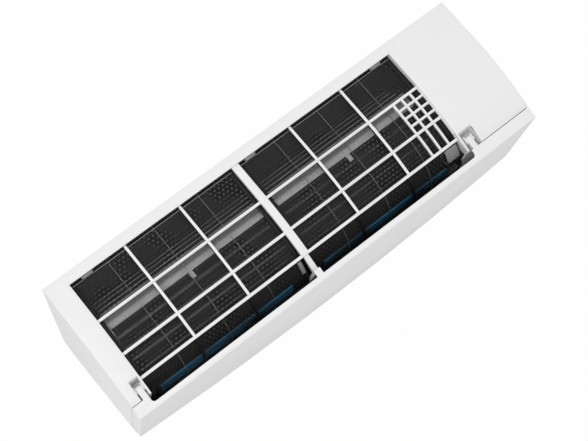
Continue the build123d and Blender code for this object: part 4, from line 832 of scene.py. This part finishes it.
# ---- coil
def fin_material(name, colours, pitch, offset, share):
    """Coated fin sheet with painted highlight lines for its crests at a pitch along the pack, all in metres.
    """
    material, tree, shader = start_material(name)
    drawn = place_group(tree, "drawn metal", brushed_group, Colour=(*colours.fin, 1), Roughness=0.5,
                        Spots=0.3)
    # Painted highlight: light lines along the pack stand in for the crests that catch the light
    crests = place_group(tree, "painted crest highlights", crest_highlight_group, Light=(*colours.collar_and_crest_highlight, 1), Pitch=pitch,
                         Offset=offset, Share=share)
    tree.links.new(drawn.outputs["Colour"], crests.inputs["Dark"])
    feed(tree, shader, crests, drawn)
    bump(tree, drawn.outputs["Height"], shader, strength=0.2, distance=0.0001)
    shader.inputs["Metallic"].default_value = 0.3
    return material


def collars(name, node, material):
    """Fin collars round the tubes of a pack: a prism of COLLAR_SIDES sides along X at each tube."""
    low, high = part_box(node)
    a, along, through = slab_frame(node)
    length = np.linalg.norm(along)
    count = int(length // TUBE_PITCH)
    s = ((length - (count - 1) * TUBE_PITCH) / 2 + TUBE_PITCH * np.arange(count)) / length
    turn = np.arange(COLLAR_SIDES) * 2 * np.pi / COLLAR_SIDES
    parts = []
    for share in TUBE_SHARES:
        for centre in a + s[:, None] * along + share * through:
            ring = (TUBE_RADIUS + COLLAR_WALL) * np.stack([np.cos(turn), np.sin(turn)], axis=1) + centre
            parts.append(blocks([low.x + COLLAR_INSET], [high.x - COLLAR_INSET], to_profile(ring)))
    mesh_piece(name, *merge(*parts), material, "cabinet", "fin_aluminium")


def slab_frame(node):
    """Outer top corner (y, z) of a leaning fin pack, and the vectors down its outer face and through it."""
    points = np.array([v.co[1:] for v in frame["nodes"][node].data.vertices])
    y, z = points.T
    corners = points[[y.argmin(), z.argmin(), y.argmax(), z.argmax()]]
    centre = corners.mean(axis=0)
    best = corners[:, 1].argmax()
    top_corner = corners[best]
    beside = [corners[(best + step) % 4] - top_corner for step in (-1, 1)]
    beside.sort(key=np.linalg.norm)
    through, along = beside
    axle = np.array(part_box("fan_axle")[0][1:]) / 2 + np.array(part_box("fan_axle")[1][1:]) / 2
    if np.dot(axle - centre, through) < 0:
        top_corner, through = top_corner + through, -through
    return top_corner, along, through


def pack_lines(node, colours):
    """Narrow strips along X on the outer face of a fin pack, coloured as painted highlights on its ridges,
    each at its distance down the face.
    """
    low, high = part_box(node)
    a, along, through = slab_frame(node)
    down, inward = along / np.linalg.norm(along), through / np.linalg.norm(through)
    for i, (start, width, highlight_level) in enumerate(LINES):
        # Painted highlight: the crest highlight colour, raised most on the top line where the pack faces the
        # light
        tone = tuple(highlight_level * c for c in colours.collar_and_crest_highlight)
        material = metal(f"painted highlight line {i + 1}", tone, roughness=0.5, spots=0.3, metallic=0.1)
        ends = (start, start + width)
        corners = [a + down * s * MM + inward * t * MM for s, t in
                   zip(ends + ends[::-1], (-LINE_LIFT, -LINE_LIFT, LINE_LIFT, LINE_LIFT))]
        strip = blocks([low.x + LINE_INSET], [high.x - LINE_INSET], to_profile(np.array(corners)))
        mesh_piece(f"{node}_line_{i + 1}", *strip, material, "cabinet", "fin_aluminium")


def fin_stack(name, node, material):
    """Stack of corrugated fins across a slab: each fin is a strip along the slab whose x swings by a triangle
    wave of its length, closed by a second skin one sheet thickness away."""
    sizes, _ = settings()
    low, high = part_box(node)
    a, along, through = slab_frame(node)
    count = int((high.x - low.x - sizes.fin_wave * 2) / sizes.fin_pitch)
    ripples = max(4, int(round(np.linalg.norm(along) / RIPPLE)))
    n = ripples + 1
    s = np.linspace(0, 1, n)
    swing = sizes.fin_wave * np.where(np.arange(n) % 2, 1.0, -1.0)
    x = low.x + sizes.fin_wave + sizes.fin_pitch * (np.arange(count) + 0.5)
    edge = a + s[:, None] * along
    points = np.zeros((count, 4, n, 3))
    for row, (share, shift) in enumerate(((0, 0), (1, 0), (1, 1), (0, 1))):
        points[:, row, :, 0] = x[:, None] + swing + shift * sizes.fin_thickness
        points[:, row, :, 1:] = edge + share * through
    base = np.arange(count)[:, None] * 4 * n
    faces = []
    for row in range(4):
        start = row * n + np.arange(ripples)
        other = ((row + 1) % 4) * n + np.arange(ripples)
        quad = np.stack([start, start + 1, other + 1, other], axis=1)
        faces.append((base[:, :, None] + quad[None]).reshape(-1, 4))
    for end in (0, ripples):
        cap = np.arange(4) * n + end
        faces.append(base + (cap if end else cap[::-1])[None])
    faces = np.concatenate(faces)
    piece = mesh_piece(name, points.reshape(-1, 3), faces, material, "cabinet", "fin_aluminium")
    write_uv(piece, points[..., 0].ravel(), np.tile(s * np.linalg.norm(along), count * 4))
    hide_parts(node)


class WALLUNIT_OT_coil(bpy.types.Operator):
    """Make the fin stacks and finish the tubes, end plates and cover strip of the coil"""
    bl_idname = "wall_unit.coil"
    bl_label = "Coil"

    def execute(self, context):
        _, colours = settings()
        rear = fin_material("coated fin rear", colours, pitch=0.0205, offset=0.0105, share=0.09)
        front = fin_material("coated fin front", colours, pitch=0.0148, offset=0.011, share=0.06)
        bare = metal("bare collar", colours.collar_and_crest_highlight, roughness=0.45, spots=0.3, metallic=0.4)
        for node, fin in (("coil_rear", rear), ("coil_front_upper", front), ("coil_front_lower", front)):
            fin_stack(node + "_fins", node, fin)
            collars(node + "_collars", node, bare)
        pack_lines("coil_rear", colours)
        copper = metal("copper tube", colours.copper, roughness=0.3, spots=0.4)
        for node in ("liquid_pipe", "gas_pipe"):
            finish_node(node, copper)
        finish_node("coil_tubes", metal("dull tube", (0.09, 0.07, 0.06), roughness=0.5, spots=0.5))
        plate = metal("galvanised plate", (0.5, 0.51, 0.52), roughness=0.4, spots=0.35)
        finish_node("coil_end_plates", plate)
        strip, tree, shader = start_material("cover strip")
        # Painted highlight: the front of the strip is given a light tone
        tones = place_group(tree, "grey back and painted lit front", lit_front_tones_group, Back=(0.3, 0.3, 0.305, 1),
                            Front=(0.85, 0.85, 0.86, 1), Low=(0.03, 0.03, 0.03, 1), Edge=STRIP_EDGE,
                            Softness=STRIP_SOFTNESS, Level=(TOP - STRIP_LEVEL) * MM)
        tree.links.new(tones.outputs["Colour"], shader.inputs["Base Color"])
        bump(tree, tones.outputs["Height"], shader, strength=0.2, distance=0.0005)
        rounded_copy("coil_top_strip", strip, radius=0.0004)
        return {"FINISHED"}


# ---- purifiers and tabs
class WALLUNIT_OT_purifiers(bpy.types.Operator):
    """Finish the purifying cartridges and the clear pull tabs"""
    bl_idname = "wall_unit.purifiers"
    bl_label = "Purifiers and tabs"

    def execute(self, context):
        _, colours = settings()
        blue, tree, shader = start_material("cartridge")
        patches = place_group(tree, "soft patches", patch_group, Colour=(*colours.cartridge, 1), Depth=0.7)
        feed(tree, shader, patches, patches)
        bump(tree, patches.outputs["Height"], shader, strength=0.3, distance=0.0002)
        finish_node("purifier_strips", blue)
        clear, tree, shader = start_material("clear plastic")
        grain_node = place_group(tree, "moulded grain", grain_group, Colour=(*colours.clear, 1), Tone=0.1,
                                 Roughness=0.2, Grain_size=300.0)
        feed(tree, shader, grain_node, grain_node)
        shader.inputs["Alpha"].default_value = 0.55
        rounded_copy("filter_tabs", clear, radius=0.0006)
        return {"FINISHED"}


# ---- inner works
class WALLUNIT_OT_works(bpy.types.Operator):
    """Finish the chassis, fan, motors, vanes, pipe fittings, electrical parts and wall plate"""
    bl_idname = "wall_unit.works"
    bl_label = "Inner works"

    def execute(self, context):
        finishes = {
            plastic("chassis grey", (0.14, 0.14, 0.145), roughness=0.5, tone=0.08): (
                "rear_chassis", "scroll_duct", "end_walls", "recess_cover", "drain_pan", "motor_cradle",
                "motor_strap", "pipe_clamp"),
            plastic("fan black", (0.02, 0.02, 0.021), roughness=0.35, tone=0.1): ("fan_rotor", "fan_hub"),
            plastic("rubber", (0.02, 0.02, 0.02), roughness=0.75, tone=0.2): ("bearing_ring", "cable_gland"),
            metal("plain steel", (0.55, 0.55, 0.56), roughness=0.32): (
                "fan_axle", "motor_shaft", "frame_screws"),
            metal("plated case", (0.42, 0.42, 0.44), roughness=0.42, spots=0.3): (
                "fan_motor", "louver_motor"),
            metal("galvanised sheet", (0.55, 0.56, 0.57), roughness=0.38, spots=0.3): (
                "wall_plate", "electrical_cover"),
            metal("machined brass", (0.6, 0.43, 0.17), roughness=0.28): ("liquid_flare_nut", "gas_flare_nut"),
            metal("sintered bronze", (0.4, 0.28, 0.14), roughness=0.55): ("fan_bearing",),
            plastic("electrical box", (0.62, 0.61, 0.58), roughness=0.45): (
                "electrical_box", "terminal_block"),
            plastic("solder resist", (0.01, 0.12, 0.05), roughness=0.3, tone=0.3): ("control_board",),
            plastic("component black", (0.03, 0.03, 0.032), roughness=0.4, tone=0.4, grain=120.0): (
                "board_components",),
            plastic("spigot white", (0.7, 0.7, 0.69), roughness=0.4): ("drain_spigot",),
            plastic("display grey", (0.06, 0.06, 0.065), roughness=0.25): ("display_module",),
            plastic("button grey", (0.6, 0.6, 0.6), roughness=0.35): ("test_button",),
            plastic("sensor black", (0.03, 0.03, 0.03), roughness=0.5): ("room_sensor",),
            plastic("vane dark", (0.05, 0.05, 0.052), roughness=0.4, tone=0.1): [
                node for node in frame["nodes"] if node.startswith("vane_")],
        }
        for material, nodes in finishes.items():
            for node in nodes:
                finish_node(node, material)
        return {"FINISHED"}


# ---- stage
def seen_ray(tree):
    """Socket that is 1 for rays from the camera, straight or through see-through material."""
    rays = add(tree, "ShaderNodeLightPath")
    return calc(tree, "MAXIMUM", rays.outputs["Is Camera Ray"], rays.outputs["Is Transmission Ray"])


def floor_material(colours):
    """Pale floor that the camera sees as white, and that still shows a soft shadow."""
    material, tree, shader = start_material("floor")
    grain_node = place_group(tree, "moulded grain", grain_group, Colour=(*colours.floor, 1), Tone=0.01,
                             Roughness=0.6, Grain_size=200.0)
    feed(tree, shader, grain_node, grain_node)
    glow = add(tree, "ShaderNodeEmission", inputs={"Color": (1, 1, 1, 1), "Strength": 1.0})
    mix = add(tree, "ShaderNodeMixShader")
    tree.links.new(calc(tree, "MULTIPLY", seen_ray(tree), FLOOR_SEEN), mix.inputs["Fac"])
    tree.links.new(shader.outputs["BSDF"], mix.inputs[1])
    tree.links.new(glow.outputs["Emission"], mix.inputs[2])
    tree.links.new(mix.outputs["Shader"], tree.nodes["Material Output"].inputs["Surface"])
    return material


class WALLUNIT_OT_stage(bpy.types.Operator):
    """Set the camera, the floor, the lights and the white world"""
    bl_idname = "wall_unit.stage"
    bl_label = "Stage"

    def execute(self, context):
        _, colours = settings()
        scene = context.scene
        lens = bpy.data.cameras.new("camera")
        lens.lens = LENS
        lens.sensor_width = SENSOR
        lens.shift_x, lens.shift_y = SHIFT
        lens.clip_end = FAR
        camera = put("camera", lens)
        turn = Matrix((CAMERA_RIGHT, CAMERA_UP, CAMERA_BACK)).transposed()
        camera.matrix_world = Matrix.Translation(CAMERA_AT) @ turn.to_4x4()
        scene.camera = camera

        level = CAD_BOX[0][2] - FLOOR_DROP
        corners = [(x * FLOOR_REACH, y * FLOOR_REACH, level) for x, y in ((-1, -1), (1, -1), (1, 1), (-1, 1))]
        mesh = bpy.data.meshes.new("floor")
        mesh.from_pydata(corners, [], [(0, 1, 2, 3)])
        mesh.materials.append(floor_material(colours))
        floor = put("floor", mesh)

        for name, place, size, power in LAMPS:
            data = bpy.data.lights.new(name, "AREA")
            data.size = size
            data.energy = power
            lamp = put(name, data)
            lamp.location = place
            lamp.rotation_euler = Vector(place).to_track_quat("Z", "Y").to_euler()

        world = bpy.data.worlds.new("studio")
        world.use_nodes = True
        scene.world = world
        tree = world.node_tree
        ambient = tree.nodes["Background"]
        ambient.inputs["Color"].default_value = (1, 1, 1, 1)
        ambient.inputs["Strength"].default_value = AMBIENT
        white = add(tree, "ShaderNodeBackground", inputs={"Color": (1, 1, 1, 1), "Strength": 1.0})
        mix = add(tree, "ShaderNodeMixShader")
        tree.links.new(seen_ray(tree), mix.inputs["Fac"])
        tree.links.new(ambient.outputs["Background"], mix.inputs[1])
        tree.links.new(white.outputs["Background"], mix.inputs[2])
        tree.links.new(mix.outputs["Shader"], tree.nodes["World Output"].inputs["Surface"])
        scene.view_settings.view_transform = "Standard"
        return {"FINISHED"}


# ---- panel and registration
class WALLUNIT_PT_sidebar(bpy.types.Panel):
    """Lists the settings and the pieces of the unit"""
    bl_idname = "WALLUNIT_PT_sidebar"
    bl_label = "Wall Unit"
    bl_space_type = "VIEW_3D"
    bl_region_type = "UI"
    bl_category = "Wall Unit"

    def draw(self, context):
        for group in (context.scene.wall_unit_sizes, context.scene.wall_unit_colours):
            column = self.layout.column()
            for name in group.__annotations__:
                column.prop(group, name)
        for operator in OPERATORS:
            self.layout.operator(operator.bl_idname)


OPERATORS = (WALLUNIT_OT_covers, WALLUNIT_OT_filters, WALLUNIT_OT_coil, WALLUNIT_OT_purifiers,
             WALLUNIT_OT_works, WALLUNIT_OT_stage)
CLASSES = (WallUnitSizes, WallUnitColours, *OPERATORS, WALLUNIT_PT_sidebar)


def register():
    """Registers the classes and the scene settings."""
    for item in CLASSES:
        bpy.utils.register_class(item)
    bpy.types.Scene.wall_unit_sizes = bpy.props.PointerProperty(type=WallUnitSizes)
    bpy.types.Scene.wall_unit_colours = bpy.props.PointerProperty(type=WallUnitColours)


def unregister():
    """Removes the scene settings and the classes."""
    del bpy.types.Scene.wall_unit_colours
    del bpy.types.Scene.wall_unit_sizes
    for item in reversed(CLASSES):
        bpy.utils.unregister_class(item)


def main():
    """Dresses the unit."""
    register()
    bpy.ops.wall_unit.covers()
    bpy.ops.wall_unit.filters()
    bpy.ops.wall_unit.coil()
    bpy.ops.wall_unit.purifiers()
    bpy.ops.wall_unit.works()
    bpy.ops.wall_unit.stage()


if __name__ == "__main__":
    main()
